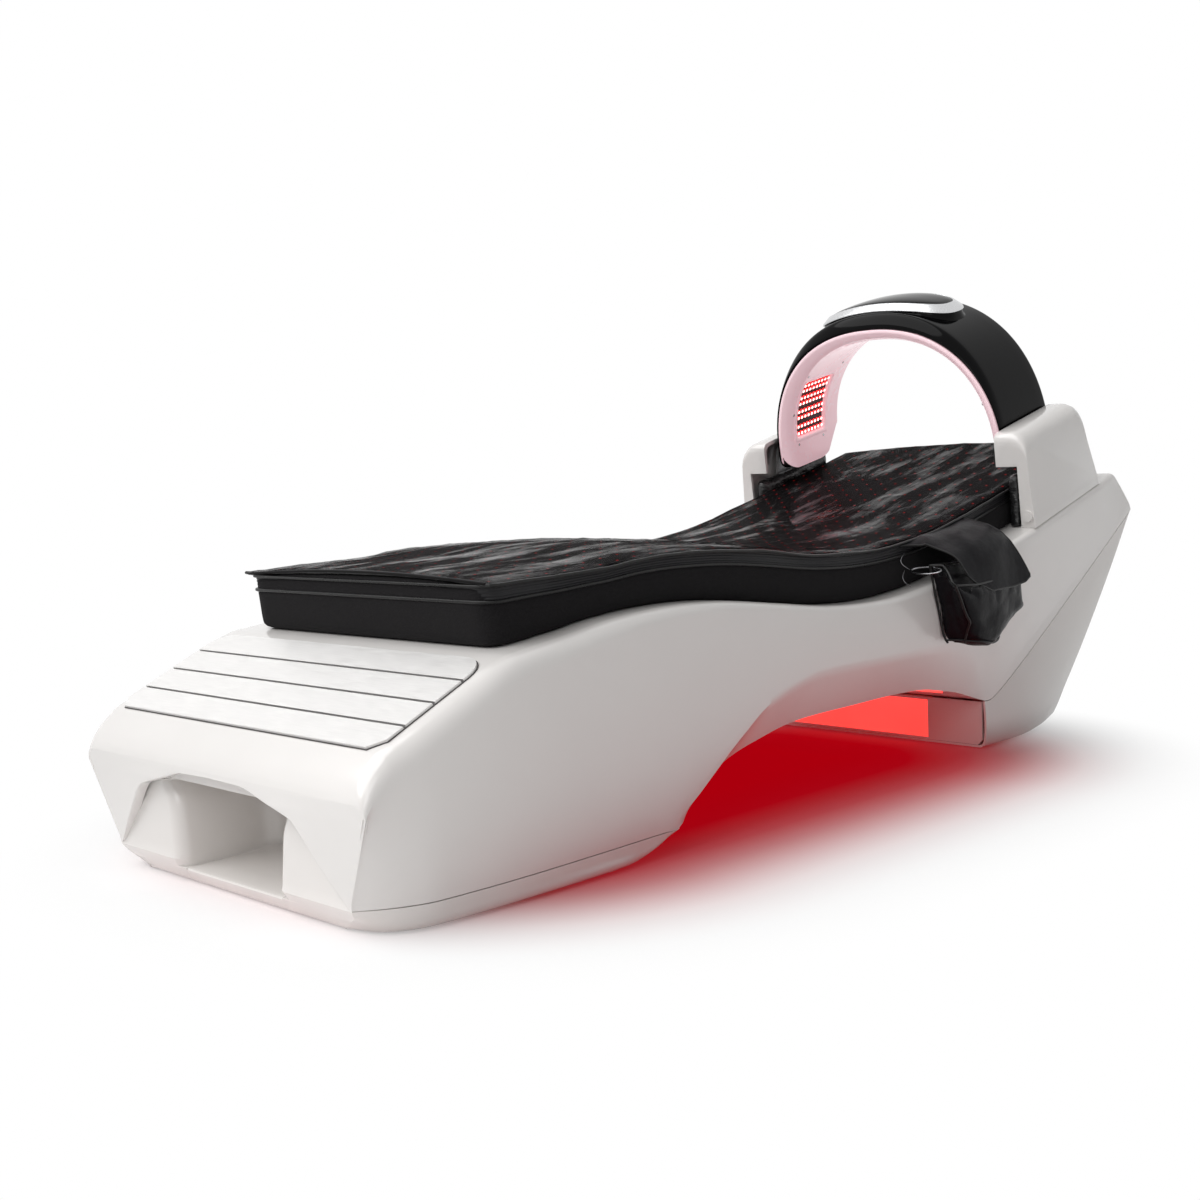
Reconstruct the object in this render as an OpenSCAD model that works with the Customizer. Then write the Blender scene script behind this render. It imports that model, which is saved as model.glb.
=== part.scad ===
// Red light therapy bed: a wave-shaped fibreglass bed on a foot block and a head block,
// with a padded light mat and a tilting arch of lamps over the head end.
// X runs across the bed, Y from the foot to the head, Z up from the floor.
// Stations such as block_s are measured along the bed from the tip of the foot end.

/* [Bed] */
// Overall length, foot tip to the rearmost edge
bed_len = 2330; // [2280:10:2450]
// Half of the width across the foot end
foot_half = 433; // [425:1:445]
// Half of the width at the waist
waist_half = 394; // [388:1:400]
// Half of the width across the head end
head_half = 424; // [420:1:432]
// Wall of the fibreglass shells
wall = 5; // [4:0.5:6]
// Height of the deck at its crest
crest_h = 433; // [425:1:445]
// Height of the deck in the dip
dip_h = 382; // [375:1:395]
// Height of the deck at its rear edge
tail_h = 600; // [590:1:612]
// Height of the rearmost edge
stern_h = 508; // [495:1:520]

/* [Foot block] */
// Height of the seam between the upper shell and the foot pan
seam_h = 45; // [42:1:50]
// Width of the shadow line at the seams
seam_gap = 1.5; // [1:0.5:3]
// Half of the length of a step plate across the bed
plate_half = 389; // [370:1:392]
// Gap between two step plates
plate_gap = 5; // [3:0.5:8]
// Thickness of a step plate
plate_t = 4; // [3:0.5:6]
// Depth of the recess in the foot end
recess_d = 190; // [150:5:200]
// Half of the recess's width
recess_half = 147; // [130:1:155]

/* [Bridge] */
// Height of the underside of the bridge above the floor
bridge_h = 168; // [155:1:175]
// Thickness of the belly panel
belly_t = 4; // [3:0.5:5]

/* [Mattress] */
// Half of the mattress's width
mattress_half = 350; // [340:1:351]
// Thickness of the mattress with its mat
mattress_t = 100; // [85:1:110]
// Rise of the mattress's crown
crown = 12; // [5:1:15]
// Thickness of the light mat
mat_t = 5; // [4:0.5:8]
// Thickness of the clear cover over the mat
film_t = 1.2; // [0.8:0.1:2]

/* [Arch] */
// Half of the arch's width at its front edge
arch_half = 328; // [322:1:329]
// Rise of the arch's front edge over its springing line
arch_rise = 317; // [300:1:330]
// Extra rise of the arch's outer face over its front edge
arch_flare = 30; // [24:1:34]
// Depth of the rounded shoulder behind the front edge
arch_shoulder = 25; // [18:1:26]
// Depth of the arch from front to rear
arch_depth = 218; // [208:1:222]
// Thickness of the arch's band
arch_band = 36; // [35:1:42]
// Wall of the arch's shell and liner
arch_wall = 4; // [3:0.5:5]
// Forward lean of the arch
arch_lean = 12.7; // [10:0.1:15]
// Radius of the hinge pins
pin_r = 8; // [6:0.5:9]
// Radial clearance of a pin in its pivot plate
pin_fit = 0.05; // [0.02:0.01:0.09]
// Lamps along one row
lamp_cols = 8; // [5:1:8]
// Pairs of lamp rows on a board
lamp_pairs = 4; // [2:1:4]
// Radius of one lamp's lens
lamp_r = 6; // [5:0.5:7]

/* [Housings] */
// Wall of the side housings
housing_wall = 8; // [6:0.5:9]
// Height of the housings over the deck at their front
housing_h = 210; // [200:1:225]
// Radius of the round caps on the housings' front faces
cap_r = 13; // [10:0.5:14]

/* [Frame] */
// Side of the square tubes of the frame
tube_w = 40; // [35:1:45]
// Wall of the tubes
tube_wall = 2.5; // [2:0.5:4]
// Height of the top of the side rails
rail_top = 280; // [265:1:285]
// Height of the rubber feet
feet_h = 4; // [3:0.5:6]
// Radius of a rubber foot
feet_r = 25; // [20:1:30]

/* [Hidden] */
$fn = 48;

// Clear gap between soft or curved pieces that lie on each other
lay_gap = 0.3;

// Stations along the bed
slope_s0 = 54;
slope_s1 = 278;
slope_z0 = 283;
slope_z1 = 387;
crest_s = 700;
dip_s = 1300;
block_s = bed_len - 580;
tail_s = bed_len - 87;
slope_a = atan2(slope_z1 - slope_z0, slope_s1 - slope_s0);

// Heights of the deck along the middle of the bed
deck_line = [
    [slope_s0, slope_z0], [slope_s1, slope_z1], [340, 398], [450, 411], [560, crest_h - 7],
    [crest_s, crest_h], [840, crest_h - 6], [1000, crest_h - 26], [1150, dip_h + 6], [dip_s, dip_h],
    [block_s - 310, dip_h + 9], [block_s - 150, dip_h + 37], [block_s + 20, tail_h - 134],
    [block_s + 136, tail_h - 101], [block_s + 400, tail_h - 26], [tail_s, tail_h]
];
// Height of the crease where the side turns in under the bridge
crease_line = [
    [0, seam_h + 12], [600, seam_h + 12], [672, 62], [726, 86], [779, 118], [833, 154], [885, 187],
    [939, 219], [993, 238], [1054, 254], [1116, 264], [dip_s, 265], [block_s - 200, 262],
    [block_s - 110, 240], [block_s - 40, 190], [block_s, 150]
];
// Height of the lower edge of the upper shell: the seam, then the bridge's edge
lip_line = [
    [0, seam_h], [640, seam_h], [684, seam_h + 1], [737, 77], [792, 105], [848, 122], [905, 135],
    [964, 146], [1087, bridge_h - 4], [dip_s, bridge_h], [block_s - 300, bridge_h + 1],
    [block_s - 205, bridge_h - 4], [block_s - 100, 144], [block_s - 20, 118], [block_s, 112]
];
// Half of the width along the deck, the crease and the lip
deck_half = [
    [0, foot_half - 11], [slope_s0, foot_half - 8], [120, foot_half - 2], [230, foot_half],
    [307, foot_half - 4], [400, foot_half - 12], [500, foot_half - 20], [crest_s, waist_half + 8],
    [930, waist_half], [dip_s, waist_half], [block_s - 260, waist_half + 3], [block_s + 20, head_half - 5],
    [block_s + 136, head_half], [block_s + 400, head_half], [tail_s, head_half - 12]
];
lip_half = [
    [0, foot_half - 81], [20, foot_half - 81], [50, foot_half - 59], [80, foot_half - 41],
    [120, foot_half - 25], [160, foot_half - 20], [300, foot_half - 16], [500, foot_half - 22],
    [600, foot_half - 27], [684, waist_half + 6], [737, waist_half - 16], [792, waist_half - 33],
    [848, waist_half - 41], [916, waist_half - 51], [1111, waist_half - 60],
    [block_s - 300, waist_half - 60], [block_s - 187, waist_half - 56], [block_s, head_half - 72]
];
crease_half = [
    [0, foot_half - 79], [20, foot_half - 79], [50, foot_half - 57], [80, foot_half - 39],
    [120, foot_half - 23], [160, foot_half - 18], [300, foot_half - 14], [500, foot_half - 20],
    [600, foot_half - 25], [684, waist_half + 9], [792, waist_half + 1], [921, waist_half - 1],
    [block_s - 214, waist_half - 2], [block_s - 100, waist_half - 14], [block_s, head_half - 67]
];
// Radius of the deck's outer edge
edge_r = [[0, 40], [300, 40], [900, 18], [block_s, 14], [tail_s, 12]];
// The seam between the upper shell and the head pan climbs from the block's front to the stern
front_seam_z = 112;
front_seam_in = 72;
seam_head = [
    [block_s, front_seam_z], [block_s + 29, front_seam_z + 1], [block_s + 82, 142], [block_s + 203, 225],
    [block_s + 412, 380], [bed_len, stern_h]
];
// The front face of the foot end, height first
nose_face = [[seam_h, 20], [100, 9], [150, 3], [185, 0], [214, 2]];
// The rounding between the front face and the slope
nose = [[2, 214], [6, 228], [16, 246], [32, 264], [slope_s0, slope_z0]];
nose_lip_s = [20, 28, 44, 62, 84];

function span_of(p, s, i = 0) = i >= len(p) - 2 || s <= p[i + 1][0] ? i : span_of(p, s, i + 1);
function clamp_to(p, s) = min(max(s, p[0][0]), p[len(p) - 1][0]);
function tilt_at(p, i) =
    let (a = max(i - 1, 0), b = min(i + 1, len(p) - 1))
    (p[b][1] - p[a][1]) / (p[b][0] - p[a][0]);
// A smooth curve through the points of p, read at s
function curve(p, s) =
    let (
        q = clamp_to(p, s),
        i = span_of(p, q),
        h = p[i + 1][0] - p[i][0],
        t = (q - p[i][0]) / h
    )
    p[i][1] * (2 * t ^ 3 - 3 * t ^ 2 + 1) + tilt_at(p, i) * h * (t ^ 3 - 2 * t ^ 2 + t)
    + p[i + 1][1] * (3 * t ^ 2 - 2 * t ^ 3) + tilt_at(p, i + 1) * h * (t ^ 3 - t ^ 2);
// A broken line through the points of p, read at s
function chain(p, s) =
    let (q = clamp_to(p, s), i = span_of(p, q))
    p[i][1] + (q - p[i][0]) / (p[i + 1][0] - p[i][0]) * (p[i + 1][1] - p[i][1]);
function deck_z(s) = s < slope_s1 ? chain(deck_line, s) : curve(deck_line, s);
// The upper shell is built from straight stretches, so pieces that lie on it read this line
function laid_z(s) = let (p = [for (q = body_s) [q, deck_z(q)]], h = [for (t = head_steps)
    [block_s + t * (tail_s - block_s), deck_z(block_s + t * (tail_s - block_s))]])
    chain(concat(p, [for (i = [1:len(h) - 1]) h[i]]), s);
function lerp(a, b, t) = a + (b - a) * t;
function mirrored(half) =
    concat([for (i = [0:len(half) - 1]) [-half[i].x, half[i].y, half[i].z]],
           [for (i = [len(half) - 1:-1:0]) half[i]]);
function joined(lists) = [for (l = lists) each l];
// Two triangles of a face with corners a, b, c, d
function quad(a, b, c, d) = [[a, b, c], [a, c, d]];
function turned(faces, flip) = flip ? [for (f = faces) [f[2], f[1], f[0]]] : faces;

// A thin wall between an outer and an inner net of points. Cells for which keep is false are
// holes. The last row can be closed with a wall of its own.
module shell_net(outer, inner, closed_rear = false, flip = false, keep = function (i, j) true) {
    rows = len(outer);
    cols = len(outer[0]);
    n = rows * cols;
    kept = function (i, j) i >= 0 && j >= 0 && i < rows - 1 && j < cols - 1 && keep(i, j);
    wall_of = function (a, b) quad(a, b, n + b, n + a);
    skins = joined([for (i = [0:rows - 2]) for (j = [0:cols - 2]) if (kept(i, j))
        let (a = i * cols + j, b = a + 1, c = a + cols + 1, d = a + cols)
        concat(quad(a, d, c, b), quad(n + a, n + b, n + c, n + d),
               kept(i - 1, j) ? [] : wall_of(a, b),
               kept(i + 1, j) || (closed_rear && i == rows - 2) ? [] : wall_of(c, d),
               kept(i, j - 1) ? [] : wall_of(d, a),
               kept(i, j + 1) ? [] : wall_of(b, c))]);
    o = (rows - 1) * cols;
    last = cols - 1;
    rear = joined([for (j = [0:cols / 2 - 2])
        concat(quad(o + j, o + last - j, o + last - 1 - j, o + j + 1),
               quad(n + o + j, n + o + j + 1, n + o + last - 1 - j, n + o + last - j))]);
    rear_lip = wall_of(o + last, o);
    polyhedron(concat(joined(outer), joined(inner)),
               turned(concat(skins, closed_rear ? concat(rear, rear_lip) : []), flip),
               convexity = 8);
}
// A solid through closed rings of points; opposite points of a ring face each other
module solid_rings(rings, flip = false) {
    rows = len(rings);
    cols = len(rings[0]);
    sides = joined([for (i = [0:rows - 2]) for (j = [0:cols - 1])
        let (k = (j + 1) % cols)
        quad(i * cols + j, (i + 1) * cols + j, (i + 1) * cols + k, i * cols + k)]);
    o = (rows - 1) * cols;
    ends = joined([for (j = [0:cols / 2 - 2])
        concat(quad(j, j + 1, cols - 2 - j, cols - 1 - j),
               quad(o + j, o + cols - 1 - j, o + cols - 2 - j, o + j + 1))]);
    polyhedron(joined(rings), turned(concat(sides, ends), flip), convexity = 8);
}
module along_bed() { translate([0, -bed_len / 2, 0]) children(); }
module across(x0, x1) {
    translate([x0, 0, 0]) rotate([90, 0, 90]) linear_extrude(x1 - x0) children();
}
module both_sides() {
    children();
    mirror([1, 0, 0]) children();
}

body_s = [
    120, 190, slope_s1, 340, 420, 500, 560, 620, 684, 737, 792, 848, 916, 1000, 1087, 1190, dip_s,
    block_s - 350, block_s - 300, block_s - 205, block_s - 100, block_s - 40, block_s
];
head_steps = [0, 0.12, 0.3, 0.5, 0.7, 0.86, 1];

// One row of the shell, from the left lip over the deck to the right lip. Top and low are
// [station, height], halves are those of the deck, the crease and the lip.
function shell_row(top, low, halves, crease, r, bulge, inset) =
    let (
        z1 = top[1],
        at = function (z) lerp(low[0], top[0], (z - low[1]) / (z1 - low[1])),
        side_x = halves[0] - inset,
        e = r - inset * 0.5,
        point = function (x, z) [x, at(z), z],
        flank = function (t)
            point(lerp(halves[1] - inset, side_x, t) + bulge, lerp(crease, z1 - e, t))
    )
    mirrored([
        point(halves[2] - inset, low[1]), point(halves[1] - inset, crease), flank(0.35), flank(0.7),
        for (a = [0, 30, 60, 90]) point(side_x - e + e * cos(a), z1 - e + e * sin(a))
    ]);
function slope_at(s) = atan2(deck_z(s + 4) - deck_z(s - 4), 8);
function body_row(s, inset) =
    shell_row([s, deck_z(s) - inset / cos(slope_at(s))], [s, curve(lip_line, s)],
              [curve(deck_half, s), curve(crease_half, s), curve(lip_half, s)],
              curve(crease_line, s), curve(edge_r, s), 4, inset);
function nose_row(i, inset) =
    let (
        a = nose[min(i + 1, 4)] - nose[max(i - 1, 0)],
        n = [a[1], -a[0]] / norm(a),
        s = nose_lip_s[i]
    )
    shell_row(nose[i] + n * inset, [s + inset * n[0], seam_h],
              [curve(deck_half, nose[i][0]), curve(crease_half, s), curve(lip_half, s)],
              seam_h + 12, 22 + 4 * i, i, inset);
// Half of the width at the head end's seam
function seam_x(z) = head_half - front_seam_in + (z - front_seam_z) / (stern_h - front_seam_z) * 60;
function head_row(t, inset) =
    let (
        top_s = lerp(block_s, tail_s, t),
        low_s = lerp(block_s, bed_len, t),
        low_z = curve(seam_head, low_s),
        back = t == 1 ? inset : 0,
        low_x = seam_x(low_z)
    )
    shell_row([top_s - back, deck_z(top_s) - inset * 1.1], [low_s - back * 1.6, low_z],
              [curve(deck_half, top_s), low_x + 5 - 2 * t, low_x],
              low_z + 38 - 26 * t, curve(edge_r, top_s), 4 - 3 * t, inset);
// The edge of the cut-out in the foot end, with as many points as the other rows
cut_out = [[foot_half - 88, seam_h + 2], [232, 170], [96, 204]];
function cut_row(inset) =
    mirrored([for (p = [
        for (t = [0, 0.33, 0.67]) lerp(cut_out[0], cut_out[1], t),
        for (t = [0, 0.33, 0.67, 1]) lerp(cut_out[1], cut_out[2], t),
        [cut_out[2][0] * 0.45, cut_out[2][1]]
    ]) [p[0], chain(nose_face, p[1]) + inset, p[1]]]);
function shell_rows(inset) = concat(
    [cut_row(inset)], [for (i = [0:4]) nose_row(i, inset)], [for (s = body_s) body_row(s, inset)],
    [for (i = [1:len(head_steps) - 1]) head_row(head_steps[i], inset)]);

module upper_shell() {
    color("white") along_bed() shell_net(shell_rows(0), shell_rows(wall), closed_rear = true);
}

// The foot pan: station of the upper edge, station, height and half width of the bottom
pan_rows = [
    [682, 680, seam_h - 4.5, waist_half + 2], [660, 656, 33, waist_half + 4],
    [625, 622, 19, waist_half + 8], [579, 579, 7, waist_half + 10], [530, 530, feet_h, foot_half - 24],
    [400, 400, feet_h, foot_half - 20], [250, 250, feet_h, foot_half - 20],
    [150, 152, feet_h, foot_half - 25], [110, 114, feet_h, foot_half - 32],
    [74, 80, feet_h, foot_half - 50], [44, 60, feet_h, foot_half - 76], [20, 45, feet_h, foot_half - 126]
];
function pan_row(r, inset) =
    let (
        z1 = curve(lip_line, r[0]) - seam_gap,
        h = z1 - r[2],
        w = min(inset, 0.35 * h),
        x1 = curve(lip_half, r[0]),
        back = r[0] < 30 ? w : 0,
        at = function (z) lerp(r[1], r[0], (z - r[2]) / h) + back,
        point = function (x, z) [x - w, at(z), z]
    )
    mirrored([
        point(x1, z1), point(lerp(r[3], x1, 0.75), r[2] + 0.6 * h), point(r[3], r[2] + max(w, 0.2 * h)),
        point(r[3] - 9, r[2] + w)
    ]);
throat_z0 = 28;
module foot_pan() {
    color("white") along_bed() difference() {
        shell_net([for (r = pan_rows) pan_row(r, 0)], [for (r = pan_rows) pan_row(r, wall)],
                  closed_rear = true);
        translate([-recess_half - panel_t - 1, 0, throat_z0 - panel_t - 1])
            cube([2 * (recess_half + panel_t + 1), 60, seam_h]);
    }
}

// The front panel leans with the shell's front face, a little behind it
panel_t = 5;
panel_back = wall + 2;
panel_top = 178;
panel_s = nose_face[0][1] + panel_back;
panel_a = atan2(nose_face[0][1] - nose_face[2][1], nose_face[2][0] - seam_h);
module leaning_panel() {
    translate([0, panel_s, seam_h]) rotate([90 + panel_a, 0, 0])
        translate([0, 0, -panel_t]) children();
}
module panel_outline(grow) {
    w0 = cut_out[0][0] - 12 + grow;
    polygon([[-w0, 1], [w0, 1], [cut_out[1][0] + grow, panel_top - seam_h - 12],
        [cut_out[1][0] - 20, panel_top - seam_h], [20 - cut_out[1][0], panel_top - seam_h],
        [-cut_out[1][0] - grow, panel_top - seam_h - 12]]);
}
module throat_outline(grow) {
    polygon([[-recess_half - grow, throat_z0 - seam_h - grow],
        [recess_half + grow, throat_z0 - seam_h - grow],
        [recess_half + 14 + grow, panel_top - seam_h - 14 + grow],
        [-recess_half - 14 - grow, panel_top - seam_h - 14 + grow]]);
}
module front_panel() {
    color("white") along_bed() leaning_panel() linear_extrude(panel_t) difference() {
        panel_outline(0);
        throat_outline(0);
    }
}
// The pocket behind the throat of the front panel
module recess_liner() {
    color("gainsboro") along_bed() translate([0, panel_s + panel_t, 0]) difference() {
        translate([0, recess_d, 0]) rotate([90, 0, 0]) linear_extrude(recess_d)
            translate([0, seam_h]) intersection() {
                throat_outline(panel_t);
                translate([-250, throat_z0 - seam_h - panel_t]) square([500, 190]);
            }
        translate([0, recess_d - panel_t, 0]) rotate([90, 0, 0]) linear_extrude(recess_d + 1)
            translate([0, seam_h]) throat_outline(0);
    }
}

// Plates of the foot slope, numbered from the bottom
slope_len = norm([slope_s1 - slope_s0, slope_z1 - slope_z0]);
plate_w = (slope_len - 3 * plate_gap) / 4;
backing_t = 1;
module on_slope() {
    along_bed() translate([0, slope_s0, slope_z0]) rotate([slope_a, 0, 0])
        translate([0, 0, lay_gap]) children();
}
module slope_area(margin) {
    // Chamfered at the lower corners, rounded at the upper ones
    r = 48;
    cut = 24;
    x = plate_half + margin;
    polygon(concat([[-x + cut, -margin], [x - cut, -margin], [x, cut]],
        [for (a = [0:15:90]) [x - r + r * cos(a), slope_len + margin - r + r * sin(a)]],
        [for (a = [90:15:180]) [-x + r + r * cos(a), slope_len + margin - r + r * sin(a)]],
        [[-x, cut]]));
}
module step_plate(i) {
    color("silver") on_slope() translate([0, 0, backing_t]) linear_extrude(plate_t) intersection() {
        slope_area(0);
        translate([-500, (i - 1) * (plate_w + plate_gap)]) square([1000, plate_w]);
    }
}
module step_backing() { color("dimgray") on_slope() linear_extrude(backing_t) slope_area(1.5); }

// The belly panel closes the underside of the bridge between the shell's lips
belly_s = [
    692, 714, 737, 792, 848, 916, 1000, 1087, 1190, dip_s, block_s - 350, block_s - 300, block_s - 205,
    block_s - 100, block_s - 40, block_s - 6
];
function belly_ring(s) =
    let (
        q = chain([for (t = body_s) [t, curve(lip_half, t)]], s) - wall - 0.6,
        z = chain([for (t = body_s) [t, curve(lip_line, t)]], s) + 0.5
    )
    [[-q, s, z], [q, s, z], [q, s, z + belly_t], [-q, s, z + belly_t]];
module belly_panel() {
    color("white") along_bed() solid_rings([for (s = belly_s) belly_ring(s)], flip = true);
}
strip_x = 296;
strip_w = 12;
strip_t = 5;
strip_s = [780, block_s - 90];
function strip_ring(s) =
    let (z = chain([for (t = body_s) [t, curve(lip_line, t)]], s) + 0.5)
    [[strip_x, s, z - strip_t], [strip_x + strip_w, s, z - strip_t], [strip_x + strip_w, s, z],
     [strip_x, s, z]];
module glow_strip_right() {
    color("red") along_bed()
        solid_rings([for (s = belly_s) if (s > strip_s[0] && s < strip_s[1]) strip_ring(s)], flip = true);
}
module glow_strip_left() { mirror([1, 0, 0]) glow_strip_right(); }

// The head pan's rows end at the shell's own rows: station, height and half width of the bottom
stern_low_in = 230;
stern_low_z = 30;
stern_foot = [
    [block_s, feet_h, head_half - 74], [block_s + 58, feet_h, head_half - 72],
    [block_s + 120, feet_h, head_half - 73], [block_s + 190, feet_h, head_half - 77],
    [block_s + 245, 8, head_half - 81], [block_s + 295, 15, head_half - 85],
    [bed_len - stern_low_in, stern_low_z, head_half - 89]
];
stern_rows = [for (i = [0:len(head_steps) - 1]) concat([head_steps[i]], stern_foot[i])];
function stern_row(r, inset) =
    let (
        s1 = lerp(block_s, bed_len, r[0]),
        z1 = curve(seam_head, s1),
        x1 = seam_x(z1),
        back = r[0] == 1 ? inset : 0,
        z0 = r[2] + inset,
        at = function (z) lerp(r[1], s1, (z - r[2]) / (z1 - r[2])) - back,
        point = function (x, z) [x - inset, at(z), z]
    )
    mirrored([
        point(x1, z1 - seam_gap), point(lerp(r[3], x1, 0.7) + 3, lerp(r[2], z1, 0.66)),
        point(lerp(r[3], x1, 0.3) + 4, lerp(r[2], z1, 0.3)), point(r[3], z0 + 10),
        point(r[3] - 10, z0)
    ]);
// The inlet sits low in the stern, where the bed's lead plugs in
stern_a = atan2(stern_h - stern_low_z, stern_low_in);
inlet_up = 90;
inlet_w = 48;
inlet_h = 28;
module on_stern() {
    along_bed() translate([0, bed_len - stern_low_in, stern_low_z]) rotate([stern_a, 0, 0])
        translate([0, inlet_up, 0]) children();
}
module head_pan() {
    color("white") difference() {
        along_bed() shell_net([for (r = stern_rows) stern_row(r, 0)],
                              [for (r = stern_rows) stern_row(r, wall)], closed_rear = true, flip = true);
        on_stern() translate([-inlet_w / 2, -inlet_h / 2, -20]) cube([inlet_w, inlet_h, 40]);
    }
}
module power_inlet() {
    slack = 0.3;
    color("black") on_stern() mirror([0, 0, 1]) difference() {
        union() {
            translate([-inlet_w / 2 - 8, -inlet_h / 2 - 6, 0.1]) cube([inlet_w + 16, inlet_h + 12, 3]);
            translate([-inlet_w / 2 + slack, -inlet_h / 2 + slack, -26])
                cube([inlet_w - 2 * slack, inlet_h - 2 * slack, 27]);
        }
        translate([-12, -8.5, -15]) cube([24, 17, 30]);
    }
}
// The head block's front wall, its window, and the panel of light behind it
front_s = block_s + 7;
front_t = 6;
window_half = 200;
window_z0 = 14;
window_h = 88;
glow_over = 8;
module head_front() {
    x0 = head_half - 76 - wall;
    z0 = feet_h + wall + 0.5;
    z1 = front_seam_z - 3.5;
    cut = 12;
    color("white") along_bed() translate([0, front_s, 0]) rotate([90, 0, 0]) linear_extrude(front_t)
        difference() {
            polygon([[-x0 + cut, z0], [x0 - cut, z0], [x0, z0 + cut], [x0, z1], [-x0, z1], [-x0, z0 + cut]]);
            translate([-window_half, window_z0]) square([2 * window_half, window_h]);
        }
}
module glow_panel() {
    z0 = feet_h + wall + 1;
    color("red") along_bed() translate([-window_half - glow_over, front_s, z0])
        cube([2 * (window_half + glow_over), 4, front_seam_z - 4 - z0]);
}

// The frame: side rails, and a portal in each block
rail_x = 250;
rail_s0 = 230;
foot_portals = [270, 480];
head_portals = [block_s + 60, block_s + 155];
rib_t = 18;
rib_half = waist_half - 54;
rib_stations = [430, 780, 1150, block_s - 250];
feet_x = 280;
feet_stations = [150, 480, block_s + 50, block_s + 150];
boxes_s = block_s + 90;
supply_x = -170;
supply_size = [215, 65, 110];
control_x = 60;
control_size = [120, 65, 80];
module tube(length) {
    rotate([-90, 0, 0]) linear_extrude(length) difference() {
        square(tube_w, center = true);
        square(tube_w - 2 * tube_wall, center = true);
    }
}
module rail_right() {
    color("dimgray") along_bed() translate([rail_x, rail_s0, rail_top - tube_w / 2])
        tube(block_s + 60);
}
module rail_left() { mirror([1, 0, 0]) rail_right(); }
module portal(stations) {
    leg_z = feet_h + wall;
    color("dimgray") along_bed() for (s = stations) {
        both_sides() translate([rail_x, s, leg_z]) rotate([90, 0, 0]) tube(rail_top - tube_w - leg_z);
        translate([-rail_x + tube_w / 2, s, rail_top - tube_w * 1.5]) rotate([0, 0, -90])
            tube(2 * rail_x - tube_w);
    }
}
module foot_frame() { portal(foot_portals); }
module head_frame() { portal(head_portals); }
module deck_rib(i) {
    s = rib_stations[i - 1];
    top = min(laid_z(s), laid_z(s + rib_t)) - wall * 1.1 - 0.6;
    color("burlywood") along_bed() translate([-rib_half, s, rail_top])
        cube([2 * rib_half, rib_t, top - rail_top]);
}
module rubber_feet() {
    color("black") along_bed() both_sides() for (s = feet_stations)
        translate([feet_x, s, 0]) cylinder(r = feet_r, h = feet_h);
}
module power_supply() {
    color("silver") along_bed() translate([supply_x, boxes_s, feet_h + wall]) cube(supply_size);
}
module control_box() {
    color("dimgray") along_bed() translate([control_x, boxes_s, feet_h + wall]) cube(control_size);
}

// The mattress: share of its thickness along the bed
mattress_share = [
    [320, 1.1], [424, 1.01], [563, 0.86], [660, 0.89], [815, 0.94], [984, 1.02], [dip_s, 1.03],
    [block_s - 163, 1], [block_s, 0.95], [block_s + 458, 0.84]
];
mattress_foot = 340;
mattress_lean = 14;
mattress_s0 = mattress_foot - mattress_lean;
mattress_s1 = block_s + 458;
mat_s0 = 304;
skin_t = mat_t + film_t + 2 * lay_gap;
function edge_top(s) =
    let (q = max(s, mattress_s0))
    laid_z(max(q, mattress_foot)) + mattress_t * curve(mattress_share, q) - skin_t;
function crown_at(x) = crown * (1 - (x / mattress_half) ^ 2);
function mattress_stations() = concat([for (s = body_s) if (s > mattress_s0 && s < block_s - 1) s],
    [for (t = head_steps) let (s = lerp(block_s, tail_s, t)) if (s < mattress_s1 - 20) s], [mattress_s1]);
// Draw pulls the ring in at the two ends
function mattress_ring(s, draw, shift) =
    let (
        z0 = laid_z(s) + lay_gap,
        z1 = edge_top(s - shift),
        h = z1 - z0,
        w = mattress_half - draw,
        ease = draw * 0.7,
        side = [[w - 7, 0], [w - 1.5, 0.12], [w - 3, 0.5], [w, 0.86], [w - 6, 1]],
        s_of = function (k) s - shift * k
    )
    concat(
        [for (p = side) [p[0], s_of(p[1]), z0 + p[1] * (h - 2 * ease) + ease]],
        [for (k = [0.75, 0.5, 0.25, 0, -0.25, -0.5, -0.75])
            [k * w, s_of(1), z1 - ease + crown_at(k * mattress_half)]],
        [for (i = [4:-1:0]) [-side[i][0], s_of(side[i][1]), z0 + side[i][1] * (h - 2 * ease) + ease]],
        [for (k = [-0.75, -0.5, -0.25, 0, 0.25, 0.5, 0.75]) [k * w, s, z0 + ease]]);
module mattress() {
    st = mattress_stations();
    color("#222") along_bed() solid_rings_fan(concat(
        [mattress_ring(st[0] - 5, 6, mattress_lean + 1)],
        [for (i = [0:len(st) - 1]) mattress_ring(st[i], 0, i == 0 ? mattress_lean : 0)],
        [mattress_ring(mattress_s1 + 6, 6, 0)]));
}
// A solid through closed rings whose ends are fans about their middle
module solid_rings_fan(rings, flip = false) {
    rows = len(rings);
    cols = len(rings[0]);
    mid = function (r) [for (k = [0:2]) (max([for (p = r) p[k]]) + min([for (p = r) p[k]])) / 2];
    sides = joined([for (i = [0:rows - 2]) for (j = [0:cols - 1])
        let (k = (j + 1) % cols)
        quad(i * cols + j, i * cols + k, (i + 1) * cols + k, (i + 1) * cols + j)]);
    o = (rows - 1) * cols;
    n = rows * cols;
    ends = [for (j = [0:cols - 1]) let (k = (j + 1) % cols) each [[n, k, j], [n + 1, o + j, o + k]]];
    polyhedron(concat(joined(rings), [mid(rings[0]), mid(rings[rows - 1])]),
               turned(concat(sides, ends), flip), convexity = 8);
}
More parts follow.
